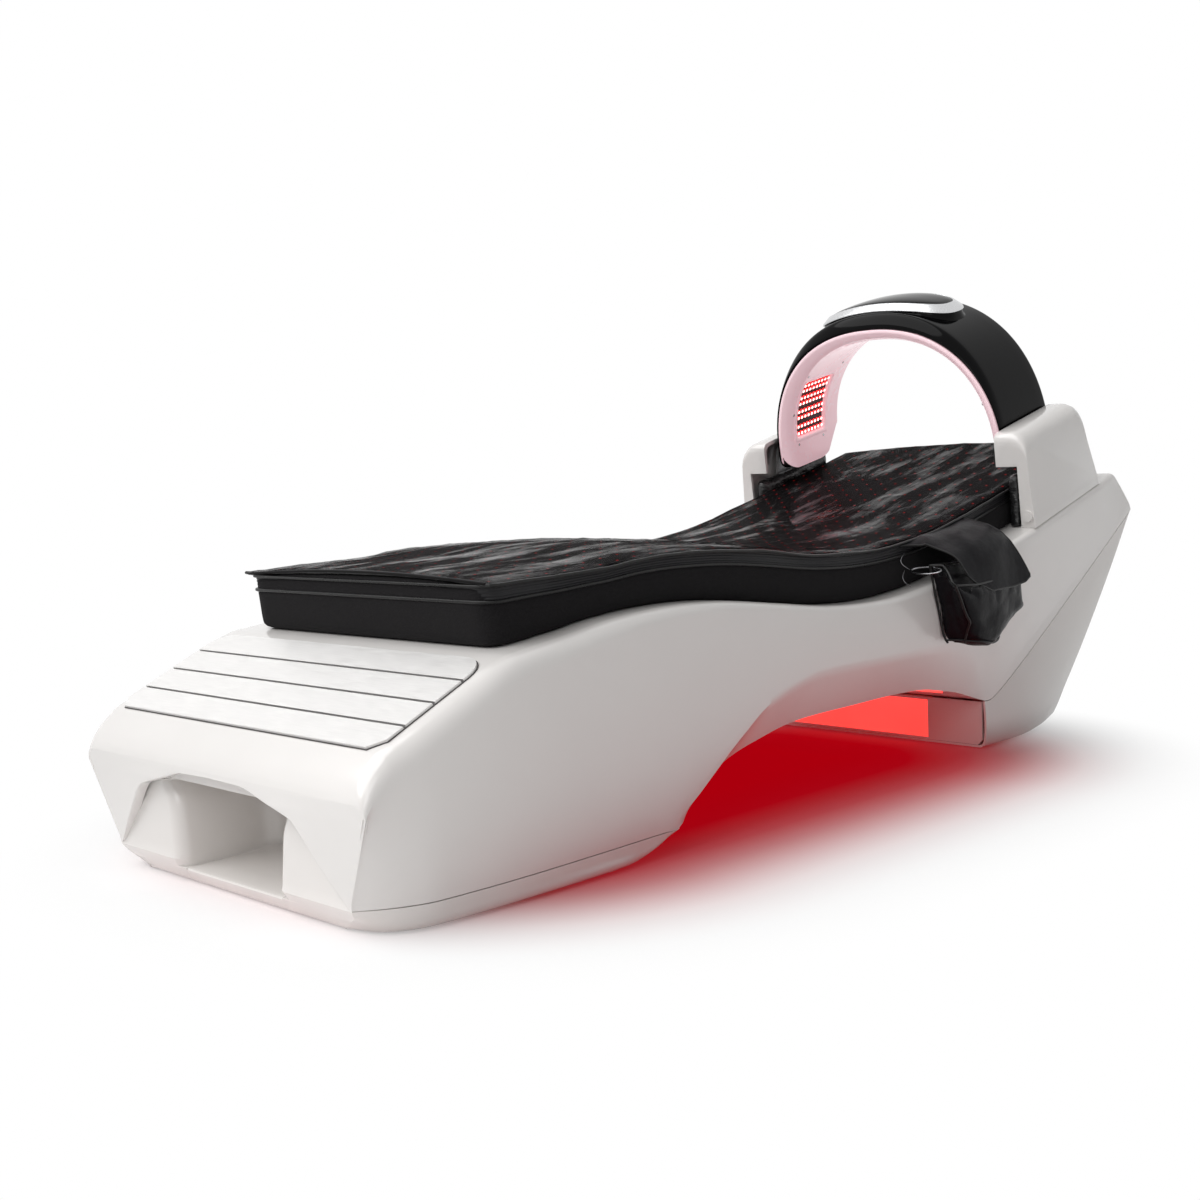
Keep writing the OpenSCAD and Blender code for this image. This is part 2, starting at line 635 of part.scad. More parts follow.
// Sheets on the mattress, under and over measured from its top
function sheet_ring(s, half, under, thick) =
    let (x = [for (k = [-1, -0.75, -0.5, -0.25, 0, 0.25, 0.5, 0.75, 1]) k * half],
         z = function (v) edge_top(s) + crown_at(min(abs(v), mattress_half)) + under)
    concat([for (v = x) [v, s, z(v)]], [for (i = [8:-1:0]) [x[i], s, z(x[i]) + thick]]);
module sheet(s0, half, under, thick) {
    st = mattress_stations();
    rings = concat(
        [sheet_ring(s0, half, under, thick), sheet_ring(st[0] - mattress_lean, half, under, thick)],
        [for (i = [1:len(st) - 1]) sheet_ring(st[i], half, under, thick)]);
    solid_rings(rings, flip = true);
}
module light_mat() { color("#181818") along_bed() sheet(mat_s0 + 8, mattress_half - 4, lay_gap, mat_t); }
module clear_cover() {
    color("#333") along_bed() sheet(mat_s0, mattress_half + 1, 2 * lay_gap + mat_t, film_t);
}

// The housings stand on the deck beside the mattress
house_s0 = block_s + 112;
house_s1 = block_s + 416;
face_lean = 22.5;
house_gap = 0.8;
house_x0 = arch_half + 6;
house_x1 = head_half - 2;
notch_x = head_half - 37;
notch_z = 631;
house_r = 46;
// Profile of a housing, from its front foot over the roof to its rear foot
function house_profile(inset, drop) =
    let (
        f = [house_s0, laid_z(house_s0) + house_gap],
        z1 = f[1] + housing_h,
        z2 = z1 + 73,
        d = drop + inset,
        b = f[0] + inset + face_lean * d / (housing_h - 22)
    )
    [
        [f[0] + inset, laid_z(f[0] + inset) + house_gap],
        [b - face_lean, z1 - 22 - d], [b - face_lean + 1, z1 - 6 - d],
        [b - face_lean + 12, z1 + 3 - d], [f[0] + 60, z1 + 25 - d], [f[0] + 190, z2 - 10 - d],
        [f[0] + 214, z2 - 4 - d], [f[0] + 232, z2 - 6 - d], [f[0] + 243 - inset * 0.6, z2 - 16 - d],
        [f[0] + 250 - inset, z2 - 36 - d], [house_s1 - inset, laid_z(house_s1 - inset) + house_gap]
    ];
function house_row(x, inset, drop) = [for (p = house_profile(inset, drop)) [x(p[1]), p[0], p[1]]];
// The outer face leans out towards the deck
function house_rows(inset) = concat(
    [house_row(function (z) house_x0, inset, 0)],
    [for (a = [0:22.5:90]) house_row(
        function (z) house_x1 - 12 - inset - house_r + house_r * sin(a)
            + (a == 90 || z < 640 ? 12 * (notch_z + 60 - min(z, notch_z + 60)) / 190 * sin(a) : 0),
        inset, house_r * (1 - cos(a)) * 0.9)]);
module housing_right() {
    color("white") along_bed() difference() {
        shell_net_closed(house_rows(0), house_rows(housing_wall));
        across(house_x0 - 10, notch_x) polygon([
            [house_s0 - 60, 400], [house_s1 + 60, 400], [house_s1 + 60, notch_z + 85],
            [house_s1 - 20, notch_z + 85], [house_s0, notch_z], [house_s0 - 60, notch_z]]);
    }
}
// A thin wall whose last row is closed by a fan about its foot
module shell_net_closed(outer, inner) {
    rows = len(outer);
    cols = len(outer[0]);
    n = rows * cols;
    o = (rows - 1) * cols;
    skins = joined([for (i = [0:rows - 2]) for (j = [0:cols - 2])
        let (a = i * cols + j, b = a + 1, c = a + cols + 1, d = a + cols)
        concat(quad(a, b, c, d), quad(n + a, n + d, n + c, n + b))]);
    edge = joined([for (j = [0:cols - 2]) quad(j + 1, j, n + j, n + j + 1)]);
    feet = joined([for (i = [0:rows - 2]) concat(
        quad(i * cols, (i + 1) * cols, n + (i + 1) * cols, n + i * cols),
        quad((i + 2) * cols - 1, (i + 1) * cols - 1, n + (i + 1) * cols - 1, n + (i + 2) * cols - 1))]);
    fan = [for (j = [1:cols - 2]) each [[o, o + j, o + j + 1], [n + o, n + o + j + 1, n + o + j]]];
    foot = quad(o, o + cols - 1, n + o + cols - 1, n + o);
    polyhedron(concat(joined(outer), joined(inner)), concat(skins, edge, feet, fan, foot), convexity = 8);
}
module housing_left() { mirror([1, 0, 0]) housing_right(); }
module housing_caps() {
    face_a = atan2(face_lean, housing_h - 22);
    z0 = laid_z(house_s0) + house_gap;
    up = 26;
    color("white") along_bed() both_sides()
        translate([notch_x + 17, house_s0 - up * tan(face_a) - lay_gap, z0 + up]) rotate([90 + face_a, 0, 0])
            cylinder(r = cap_r, h = 4);
}
module side_pad_right() {
    s0 = house_s0 - 8;
    s1 = house_s1 - 30;
    color("#161616") along_bed() across(mattress_half + 3, notch_x - 5) polygon([
        [s0 + 4, laid_z(s0) + 2], [s1 - 4, laid_z(s1) + 1], [s1, laid_z(s1) + 8],
        [s1, laid_z(s1) + 104], [s1 - 8, laid_z(s1) + 110], [s0 + 8, laid_z(s0) + 126],
        [s0, laid_z(s0) + 118], [s0, laid_z(s0) + 8]]);
}
module side_pad_left() { mirror([1, 0, 0]) side_pad_right(); }

// The arch: w rises along its lean, v runs to the rear, from its springing line
arch_s = block_s + 143;
arch_z = 661;
arch_n = 2.26;
leg_end = -25;
pin_s = arch_s + 96;
pin_z = 686;
module in_arch() {
    along_bed() translate([0, arch_s, arch_z]) rotate([arch_lean, 0, 0]) children();
}
function bulged(c) = sign(c) * abs(c) ^ (2 / arch_n);
function lift_at(v) = sin(90 * min(max(v, 0) / arch_shoulder, 1));
// A point of the arch: a is the angle round it, in is the distance inwards from the front edge,
// and lift is the share of the shell's extra rise there
function arch_point(a, v, in, lift = 0) =
    let (
        half = arch_half - in,
        rise = arch_rise + arch_flare * lift - in * 0.92,
        b = min(max(a, 0), 180),
        down = a < 0 || a > 180 ? leg_end : 0
    )
    [half * bulged(cos(b)), v, rise * bulged(sin(b)) + down];
arch_angles = concat([-1, 0, 3, 7, 11], [for (a = [15:5:165]) a], [169, 173, 177, 180, 181]);
function arch_rows(path) = [for (a = arch_angles) [for (p = path) arch_point(a, p[0], p[1])]];
// The shell's rows: each point of the path has its own share of the extra rise
function lifted_rows(path) = [for (a = arch_angles) [for (p = path) arch_point(a, p[0], p[1], p[2])]];
module arch_shell() {
    d = arch_depth;
    t = arch_wall;
    band = arch_band;
    s = arch_shoulder;
    low = s * 0.28;
    high = s * 0.6;
    outer = [[d, band - 6, 0], [d, 12, 1], [d - 3, 4, 1], [d - 12, 0, 1], [d * 0.66, 0, 1], [d * 0.33, 0, 1],
        [s, 0, 1], [high, 0, lift_at(high)], [low, 0, lift_at(low)], [1, 2, 0]];
    inner = [[d - t, band - 6, 0], [d - t, 14, 1], [d - t - 2, 8, 1], [d - 14, t, 1], [d * 0.66, t, 1],
        [d * 0.33, t, 1], [s + 1, t, 1], [high + 2, t + 0.5, lift_at(high)], [low + 3, t + 1, lift_at(low)],
        [5, 6, 0]];
    color("#111") difference() {
        in_arch() difference() {
            shell_net(lifted_rows(outer), lifted_rows(inner), flip = true);
            leg_corners();
        }
        pin_axis() cylinder(r = pin_r + 2, h = 800, center = true);
    }
}
// What the rounded corners take off the legs' ends, at the front and at the rear
leg_front_r = 34;
leg_rear_r = 95;
module leg_corner(r) {
    reach = arch_half + 20;
    translate([-reach, 0, leg_end - 1]) difference() {
        translate([0, -5, 0]) cube([2 * reach, r + 5, r + 1]);
        translate([-1, r, r + 1]) rotate([0, 90, 0]) cylinder(r = r, h = 2 * reach + 2);
    }
}
module leg_corners() {
    leg_corner(leg_front_r);
    translate([0, arch_depth, 0]) mirror([0, 1, 0]) leg_corner(leg_rear_r);
}
module pin_axis() { along_bed() translate([0, pin_s, pin_z]) rotate([0, 90, 0]) children(); }

board_v0 = 36;
board_v1 = 165;
board_a = [7, 40];
top_a = [75, 105];
module arch_liner() {
    d = arch_depth - arch_wall - lay_gap;
    t = arch_wall;
    b = arch_band;
    path = [[5, 6.5], [1.2, 6.6], [-0.5, 10], [-0.5, 15], [2, 21], [7, b - 12], [13, b - 6], [25, b - 0.6],
        [board_v0, b], [board_v1, b], [d - 6, b], [d, b - 4]];
    back = [[7, 11], [5, 11.4], [t - 0.4, 12.5], [t - 0.4, 15.5], [5.5, 19.5], [10, b - 14.6],
        [15.5, b - 9.5], [26, b - t - 0.6], [board_v0, b - t], [board_v1, b - t],
        [d - 6, b - t], [d - 3, b - 2 * t]];
    window_j = 8;
    color("white") in_arch() difference() {
        shell_net(arch_rows(path), arch_rows(back), flip = true, keep = function (i, j)
            !(j == window_j && windowed(arch_angles[i], arch_angles[i + 1])));
        leg_corners();
    }
}
function windowed(a, b) =
    let (m = (a + b) / 2, q = min(m, 180 - m))
    q > board_a[0] && q < board_a[1] || m > top_a[0] && m < top_a[1];
// A lamp board lies behind a window of the liner
board_in = arch_band - arch_wall - 4;
board_t = 3;
module lamp_board(a0, a1) {
    st = [for (a = arch_angles) if (a >= a0 && a <= a1) a];
    v0 = board_v0 - 8;
    v1 = board_v1 + 12;
    in_arch() {
        solid_rings([for (a = st) [
            arch_point(a, v0, board_in), arch_point(a, v1, board_in),
            arch_point(a, v1, board_in - board_t), arch_point(a, v0, board_in - board_t)]], flip = true);
        for (a = [a0 + 1, a1 - 1]) for (v = [v0 + 4, v1 - 6]) {
            p = arch_on_board(a, v, board_in);
            translate(p[0]) rotate([0, p[1], 0]) translate([0, 0, -0.5]) cylinder(r = 3, h = 3.6);
        }
    }
}
module lamp_board_right() { color("#111") lamp_board(board_a[0], board_a[1]); }
module lamp_board_left() { color("#111") lamp_board(180 - board_a[1], 180 - board_a[0]); }
module lamp_board_top() { color("#111") lamp_board(top_a[0], top_a[1]); }
// Lamps stand on a board in pairs of rows: a0 is the first row's angle, step lies between pairs
// and pair between the two rows of one
module lamp_rows(a0, step, pair) {
    in_arch() for (k = [0:lamp_pairs - 1]) for (m = [0, pair]) for (i = [0:lamp_cols - 1]) {
        a = a0 + k * step + m;
        v = board_v0 + 8 + (i + 0.5) * (board_v1 - board_v0 - 16) / lamp_cols;
        p = arch_on_board(a, v, board_in);
        translate(p[0]) rotate([0, p[1], 0]) translate([0, 0, 0.5]) {
            cylinder(r = lamp_r, h = 2);
            translate([0, 0, 2]) difference() {
                sphere(r = lamp_r - 0.5);
                translate([0, 0, -lamp_r]) cube(2 * lamp_r, center = true);
            }
        }
    }
}
// A place on the straight stretches of a board, and the turn of its inward normal
function arch_on_board(a, v, in) =
    let (
        i = [for (k = [0:len(arch_angles) - 2]) if (arch_angles[k] <= a && a < arch_angles[k + 1]) k][0],
        p = arch_point(arch_angles[i], v, in),
        q = arch_point(arch_angles[i + 1], v, in),
        t = (a - arch_angles[i]) / (arch_angles[i + 1] - arch_angles[i]),
        d = q - p
    )
    [lerp(p, q, t), atan2(-d[2], d[0])];
module lamps_right() { color("tomato") lamp_rows(9.5, 7.8, 3.3); }
module lamps_left() { mirror([1, 0, 0]) lamps_right(); }
module lamps_top() { color("tomato") lamp_rows(78, 7, 3); }

module arch_brackets() {
    color("dimgray") both_sides() difference() {
        in_arch() translate([arch_half - arch_band + arch_wall + 0.5, 62, -8])
            cube([arch_band - 2 * arch_wall - 3.9, 76, 44]);
        pin_axis() cylinder(r = pin_r, h = 800, center = true);
    }
}
boss_x0 = arch_half + 6;
plate_x = head_half - 34;
plate_wall = 8;
module pivot_pins() {
    pin_x0 = arch_half - arch_band + 6;
    color("silver") both_sides() pin_axis() translate([0, 0, pin_x0])
        cylinder(r = pin_r, h = plate_x + plate_wall + 4 - pin_x0);
}
module friction_washers() {
    color("dimgray") both_sides() pin_axis() translate([0, 0, arch_half + 1.6]) difference() {
        cylinder(r = pin_r + 8, h = boss_x0 - arch_half - 2);
        translate([0, 0, -1]) cylinder(r = pin_r + pin_fit, h = 10);
    }
}
module pivot_plate_right() {
    color("silver") difference() {
        union() {
            along_bed() across(plate_x, plate_x + plate_wall) polygon([
                [pin_s - 35, laid_z(pin_s - 35) + lay_gap], [pin_s + 35, laid_z(pin_s + 35) + lay_gap],
                [pin_s + 22, pin_z + 8], [pin_s + 8, pin_z + 22], [pin_s - 8, pin_z + 22],
                [pin_s - 22, pin_z + 8]]);
            pin_axis() translate([0, 0, boss_x0]) cylinder(r = pin_r + 9, h = plate_x - boss_x0 + 1);
        }
        pin_axis() translate([0, 0, boss_x0 - 1]) cylinder(r = pin_r + pin_fit, h = 80);
    }
}
module pivot_plate_left() { mirror([1, 0, 0]) pivot_plate_right(); }

// The pod on the crown: a silver band with a sloping face round a low black top
pod_v = 116;
pod_half = 188;
pod_reach = 86;
pod_n = 2.6;
band_over = 17;
band_face = 15;
band_slope = 20;
pod_h = 7;
// Height of the shell behind its shoulder, at a distance across the bed
function outer_w(x) = (arch_rise + arch_flare) * (1 - (abs(x) / arch_half) ^ arch_n) ^ (1 / arch_n);
// The band is flatter than the arch below it
function band_top(x) = arch_rise + arch_flare + band_over - 31 * (x / pod_half) ^ 2;
// The pod's rows stand over the arch's own rows
function pod_stations(half) = concat(
    [-half],
    [for (i = [len(arch_angles) - 1:-1:0])
        let (x = arch_point(arch_angles[i], 0, 0)[0])
        if (abs(x) < half - 4) x],
    [half]);
// Half of the pod's depth at a distance across the bed
function pod_depth(x, inset) =
    (pod_reach - inset) * max(0.06, 1 - (abs(x) / (pod_half - inset)) ^ pod_n) ^ (1 / pod_n);
module pod_band() {
    color("silver") in_arch() solid_rings([for (x = pod_stations(pod_half))
        let (w = pod_depth(x, 0), top = band_top(x), low = top - band_face, flat = w - min(band_slope, w / 2))
        concat([for (k = [-1, -0.6, 0, 0.6, 1]) [x, pod_v + k * w, outer_w(x) + lay_gap]],
               [[x, pod_v + w, low], [x, pod_v + flat, top], [x, pod_v, top],
                [x, pod_v - flat, top], [x, pod_v - w, low]])]);
}
module arch_pod() {
    color("#111") in_arch() solid_rings([for (x = pod_stations(pod_half - band_slope))
        let (w = pod_depth(x, band_slope), z = band_top(x) + lay_gap, dome = function (k) sqrt(1 - k * k))
        concat([for (k = [-1, -0.6, 0, 0.6, 1]) [x, pod_v + k * w, z]],
               [for (k = [1, 0.6, 0, -0.6, -1]) [x, pod_v + k * w, lerp(z + 1.5, z + pod_h, dome(k))]])]);
}

// Angle round the arch, distance from its front and depth of each screw of the liner
screw_spots = [[20.5, 24, -0.3], [44, 36, 0.05], [46, 178, 0.05], [4.8, 150, 0.05], [4.8, 45, 0.05]];
module liner_screws() {
    color("dimgray") in_arch() both_sides() for (q = screw_spots) {
        p = arch_on_board(q[0], q[1], arch_band + q[2]);
        translate(p[0]) rotate([0, p[1], 0]) cylinder(r = 3.5, h = 1.2);
    }
}

// The pouch hangs by its flap from the mattress's side, over the edge of the deck
bag_x1 = head_half + 24;
bag_s0 = block_s - 280;
bag_s1 = block_s + 35;
// Station, height of the bag's top and of its bottom
bag_rows = [
    [bag_s0, 428, 320], [bag_s0 + 25, 440, 285], [bag_s0 + 70, 440, 270], [bag_s0 + 170, 440, 264],
    [bag_s1 - 45, 425, 268], [bag_s1, 400, 290]
];
function bag_ring(r) =
    let (
        x0 = chain([for (s = body_s) [s, curve(deck_half, s)]], r[0]) + 6,
        x1 = r[0] == bag_s0 || r[0] == bag_s1 ? bag_x1 - 8 : bag_x1,
        z0 = r[2],
        z1 = min(r[1], laid_z(r[0]) - 14)
    )
    [[x0 + 6, r[0], z0 + 2], [x0 + 18, r[0], z0], [x1 - 6, r[0], z0 + 8], [x1, r[0], z0 + 40],
     [x1 - 2, r[0], z1 - 30], [x1 - 9, r[0], z1 - 4], [x0 + 4, r[0], z1 - 2], [x0, r[0], z0 + 50]];
module pouch_bag() { color("#1a1a1a") along_bed() solid_rings_fan([for (r = bag_rows) bag_ring(r)]); }
// Station and height of the flap's lower edge, and how far it reaches
flap_rows = [
    [bag_s0 - 24, 440, 0.3], [bag_s0 + 30, 440, 0.62], [bag_s0 + 86, 376, 1], [bag_s0 + 150, 376, 1],
    [bag_s1 - 85, 376, 1], [bag_s1 - 29, 378, 1]
];
flap_t = 3;
function flap_row(r, out) =
    let (
        z = laid_z(r[0]),
        top = edge_top(r[0]) - 16,
        x = curve(deck_half, r[0]),
        low = min(z - 24, r[1]),
        x0 = mattress_half + lay_gap,
        path = [
            [x0, top], [x0 + 16, top - 8], [x - 6, z + 27], [x + 30, z + 6],
            [bag_x1 + 3, z - 16], [bag_x1 + 4, low]
        ],
        away = [[0, 1], [0, 1], [0.5, 1], [0.8, 0.7], [1, 0.3], [1, 0]]
    )
    [for (k = [0:5]) [
        x0 + r[2] * (path[k][0] - x0) + away[k][0] * out, r[0],
        top + r[2] * (path[k][1] - top) + away[k][1] * out]];
module pouch_flap() {
    color("#1a1a1a") along_bed()
        shell_net([for (r = flap_rows) flap_row(r, flap_t)], [for (r = flap_rows) flap_row(r, 0)]);
}
module pouch_ring() {
    wire_r = 1.6;
    ring_r = 18;
    ring_z = 352;
    color("silver") along_bed() translate([bag_x1 - 22, bag_s0 - wire_r - lay_gap, ring_z]) rotate([90, 0, 0])
        rotate_extrude() translate([ring_r, 0]) circle(r = wire_r, $fn = 16);
}

upper_shell();
foot_pan();
front_panel();
recess_liner();
step_plate(1);  // step_plate_1
step_plate(2);  // step_plate_2
step_plate(3);  // step_plate_3
step_plate(4);  // step_plate_4
step_backing();
belly_panel();
head_pan();
head_front();
glow_panel();
glow_strip_left();
glow_strip_right();
rail_left();
rail_right();
foot_frame();
head_frame();
deck_rib(1);  // deck_rib_1
deck_rib(2);  // deck_rib_2
deck_rib(3);  // deck_rib_3
deck_rib(4);  // deck_rib_4
rubber_feet();
power_supply();
control_box();
power_inlet();
mattress();
light_mat();
clear_cover();
housing_left();
housing_right();
housing_caps();
side_pad_left();
side_pad_right();
pivot_plate_left();
pivot_plate_right();
pivot_pins();
friction_washers();
arch_shell();
arch_liner();
arch_brackets();
arch_pod();
pod_band();
lamp_board_left();
lamp_board_right();
lamp_board_top();
lamps_left();
lamps_right();
lamps_top();
liner_screws();
pouch_bag();
pouch_flap();
pouch_ring();
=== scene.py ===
import math

import bmesh
import bpy
from mathutils import Matrix, Vector, noise


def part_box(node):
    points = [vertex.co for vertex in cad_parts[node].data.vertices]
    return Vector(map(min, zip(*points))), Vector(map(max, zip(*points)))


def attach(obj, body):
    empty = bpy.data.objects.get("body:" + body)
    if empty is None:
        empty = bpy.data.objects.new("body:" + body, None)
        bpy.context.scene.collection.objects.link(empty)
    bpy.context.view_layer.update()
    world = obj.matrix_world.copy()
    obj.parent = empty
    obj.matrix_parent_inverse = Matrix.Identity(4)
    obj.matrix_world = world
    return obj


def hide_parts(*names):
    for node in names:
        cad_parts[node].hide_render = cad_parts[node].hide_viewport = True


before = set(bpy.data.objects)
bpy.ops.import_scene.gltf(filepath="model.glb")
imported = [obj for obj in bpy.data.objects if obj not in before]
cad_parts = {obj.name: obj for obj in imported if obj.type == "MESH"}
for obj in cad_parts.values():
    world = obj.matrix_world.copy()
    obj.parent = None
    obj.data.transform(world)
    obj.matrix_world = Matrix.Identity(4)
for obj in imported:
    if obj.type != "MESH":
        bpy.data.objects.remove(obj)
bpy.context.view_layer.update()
print("frame loaded")

# Sizes are in millimetres, stations run from the foot tip along the bed
bed = {
    "length": 2330, "footHalf": 433, "waistHalf": 394, "headHalf": 424, "wall": 5,
    "crest": 433, "dip": 382, "tail": 600, "stern": 508, "seam": 45, "floorGap": 4,
}
blockS = bed["length"] - 580
tailS = bed["length"] - 87

camera = {
    "place": (2.2305, -2.440, 0.7017), "yaw": 45.68, "pitch": -5.37, "roll": -2.52,
    "lens": 46.8, "sensor": 36.0,
}


def setCamera():
    yaw, pitch, roll = (math.radians(camera[k]) for k in ("yaw", "pitch", "roll"))
    ahead = Vector((-math.sin(yaw) * math.cos(pitch), math.cos(yaw) * math.cos(pitch), math.sin(pitch)))
    right = Vector((math.cos(yaw), math.sin(yaw), 0))
    up = right.cross(ahead)
    turnedRight = right * math.cos(roll) + up * math.sin(roll)
    turnedUp = up * math.cos(roll) - right * math.sin(roll)
    data = bpy.data.cameras.new("camera")
    data.lens = camera["lens"]
    data.sensor_width = camera["sensor"]
    data.clip_end = 60
    eye = bpy.data.objects.new("camera", data)
    turn = Matrix((turnedRight, turnedUp, -ahead)).transposed().to_4x4()
    eye.matrix_world = Matrix.Translation(camera["place"]) @ turn
    bpy.context.scene.collection.objects.link(eye)
    bpy.context.scene.camera = eye


setCamera()
print("camera set")


# Finishes
def shader(name, colour, roughness, **sockets):
    mat = bpy.data.materials.new(name)
    mat.use_nodes = True
    tree = mat.node_tree
    surface = tree.nodes["Principled BSDF"]
    surface.inputs["Base Color"].default_value = (*colour, 1)
    surface.inputs["Roughness"].default_value = roughness
    for key, value in sockets.items():
        surface.inputs[key.replace("_", " ")].default_value = value
    return mat, tree, surface


def makeNode(tree, kind, settings=None, **links):
    made = tree.nodes.new(kind)
    for key, value in (settings or {}).items():
        if hasattr(made, key):
            setattr(made, key, value)
        else:
            made.inputs[key].default_value = value
    for key, source in links.items():
        tree.links.new(source, made.inputs[key.replace("_", " ")])
    return made


def spots(tree, scale, detail=3, stretch=(1, 1, 1), rough=0.55):
    # Noise in the piece's own coordinates, drawn out along an axis by stretch
    where = makeNode(tree, "ShaderNodeTexCoord")
    mapped = makeNode(tree, "ShaderNodeMapping", {"Scale": stretch}, Vector=where.outputs["Object"])
    made = makeNode(tree, "ShaderNodeTexNoise", {"Scale": scale, "Detail": detail, "Roughness": rough},
                    Vector=mapped.outputs[0])
    return made.outputs[0]


def ramp(tree, source, stops):
    made = makeNode(tree, "ShaderNodeValToRGB", None, Fac=source)
    band = made.color_ramp
    while len(band.elements) < len(stops):
        band.elements.new(0.5)
    for element, (place, colour) in zip(band.elements, stops):
        element.position = place
        element.color = (*colour, 1) if len(colour) == 3 else colour
    return made.outputs[0]


def spread(tree, source, low, high, fromLow=0.3, fromHigh=0.7):
    made = makeNode(tree, "ShaderNodeMapRange", {
        "From Min": fromLow, "From Max": fromHigh, "To Min": low, "To Max": high}, Value=source)
    return made.outputs[0]


def bump(tree, surface, height, strength, distance, previous=None):
    made = makeNode(tree, "ShaderNodeBump", {"Strength": strength, "Distance": distance}, Height=height)
    if previous:
        tree.links.new(previous, made.inputs["Normal"])
    tree.links.new(made.outputs[0], surface.inputs["Normal"])
    return made.outputs[0]


def lacquer(name, colour, roughness=0.16, coat=0.6, dust=0.012, **sockets):
    # Sprayed and polished fibreglass: faint orange peel, cloudy tone, hand marks
    mat, tree, surface = shader(name, colour, roughness, Coat_Weight=coat, Coat_Roughness=0.05, **sockets)
    low = tuple(c * 0.965 for c in colour)
    tone = ramp(tree, spots(tree, 2.3, 4), [(0.3, low), (0.7, colour)])
    tree.links.new(tone, surface.inputs["Base Color"])
    marks = spread(tree, spots(tree, 9, 6, rough=0.7), roughness * 0.75, roughness * 1.6)
    tree.links.new(marks, surface.inputs["Roughness"])
    peel = bump(tree, surface, spots(tree, 210, 1), 0.05, dust * 0.01)
    bump(tree, surface, spots(tree, 3.5, 2), 0.1, 0.004, peel)
    return mat


def brushed(name, colour, roughness, along=(1, 60, 60), metallic=1.0):
    mat, tree, surface = shader(name, colour, roughness, Metallic=metallic)
    grain = spots(tree, 22, 5, along, 0.7)
    dark = tuple(c * 0.9 for c in colour)
    tree.links.new(ramp(tree, grain, [(0.35, dark), (0.65, colour)]), surface.inputs["Base Color"])
    tree.links.new(spread(tree, grain, roughness * 0.8, roughness * 1.3), surface.inputs["Roughness"])
    bump(tree, surface, grain, 0.06, 0.0004)
    return mat


def knit(name, colour, pitch=900, sheen=0.05):
    # Close black knit: rows of loops, light fibres and a little lint
    mat, tree, surface = shader(name, colour, 0.9, Sheen_Weight=sheen, Sheen_Roughness=0.45,
                                Specular_IOR_Level=0.1)
    fibres = spots(tree, pitch, 2, rough=0.8)
    bright = tuple(min(1, c * 3 + 0.006) for c in colour)
    tree.links.new(ramp(tree, fibres, [(0.42, colour), (0.72, bright)]), surface.inputs["Base Color"])
    loops = bump(tree, surface, fibres, 0.5, 0.0012)
    bump(tree, surface, spots(tree, 5, 3), 0.35, 0.008, loops)
    return mat


def leather(name, colour, roughness=0.34, crumple=1.0, gloss=0.25):
    mat, tree, surface = shader(name, colour, roughness, Specular_IOR_Level=gloss)
    where = makeNode(tree, "ShaderNodeTexCoord")
    cells = makeNode(tree, "ShaderNodeTexVoronoi", {"Scale": 420.0, "feature": "DISTANCE_TO_EDGE"},
                     Vector=where.outputs["Object"]).outputs["Distance"]
    folds = spots(tree, 16, 5, (1, 1, 1.6), 0.6)
    tree.links.new(spread(tree, folds, roughness * 0.8, roughness * 1.35), surface.inputs["Roughness"])
    light = tuple(c * 1.7 + 0.004 for c in colour)
    tree.links.new(ramp(tree, folds, [(0.35, colour), (0.75, light)]), surface.inputs["Base Color"])
    grain = bump(tree, surface, cells, 0.25, 0.0006)
    bump(tree, surface, folds, 0.45 * crumple, 0.012, grain)
    return mat


def satin(name, colour):
    # Satin of the pouch: a soft directional sheen over a fine twill, with painted glints in its colour
    mat, tree, surface = shader(name, colour, 0.34, Sheen_Weight=0.008, Sheen_Roughness=0.3,
                                Specular_IOR_Level=0.08)
    twill = spots(tree, 1500, 1, (1, 1, 0.4))
    # Painted highlights: the colour turns paler where the twill noise is high
    paintedGlint = tuple(c * 3 + 0.008 for c in colour)
    tree.links.new(ramp(tree, twill, [(0.5, colour), (0.78, paintedGlint)]), surface.inputs["Base Color"])
    weave = bump(tree, surface, twill, 0.3, 0.0008)
    bump(tree, surface, spots(tree, 14, 4), 0.3, 0.01, weave)
    return mat


def moulded(name, colour, roughness, grainScale=260, strength=0.12, **sockets):
    # Plain moulded plastic, rubber or painted steel with its own grain
    mat, tree, surface = shader(name, colour, roughness, **sockets)
    tone = spots(tree, 6, 4)
    low = tuple(c * 0.88 for c in colour)
    tree.links.new(ramp(tree, tone, [(0.3, low), (0.7, colour)]), surface.inputs["Base Color"])
    tree.links.new(spread(tree, tone, roughness * 0.85, min(1, roughness * 1.2)), surface.inputs["Roughness"])
    bump(tree, surface, spots(tree, grainScale, 2), strength, 0.0006)
    return mat


def glowing(name, colour, power, patchy=0.12):
    mat, tree, surface = shader(name, colour, 0.3, Emission_Strength=power)
    low = tuple(c * (1 - patchy) for c in colour)
    tone = ramp(tree, spots(tree, 5, 3), [(0.35, low), (0.65, colour)])
    tree.links.new(tone, surface.inputs["Base Color"])
    tree.links.new(tone, surface.inputs["Emission Color"])
    return mat


def plywood(name):
    mat, tree, surface = shader(name, (0.55, 0.4, 0.24), 0.7)
    grain = spots(tree, 14, 6, (1, 1, 9), 0.7)
    tree.links.new(ramp(tree, grain, [(0.3, (0.42, 0.28, 0.15)), (0.7, (0.62, 0.46, 0.29))]),
                   surface.inputs["Base Color"])
    bump(tree, surface, grain, 0.2, 0.001)
    return mat


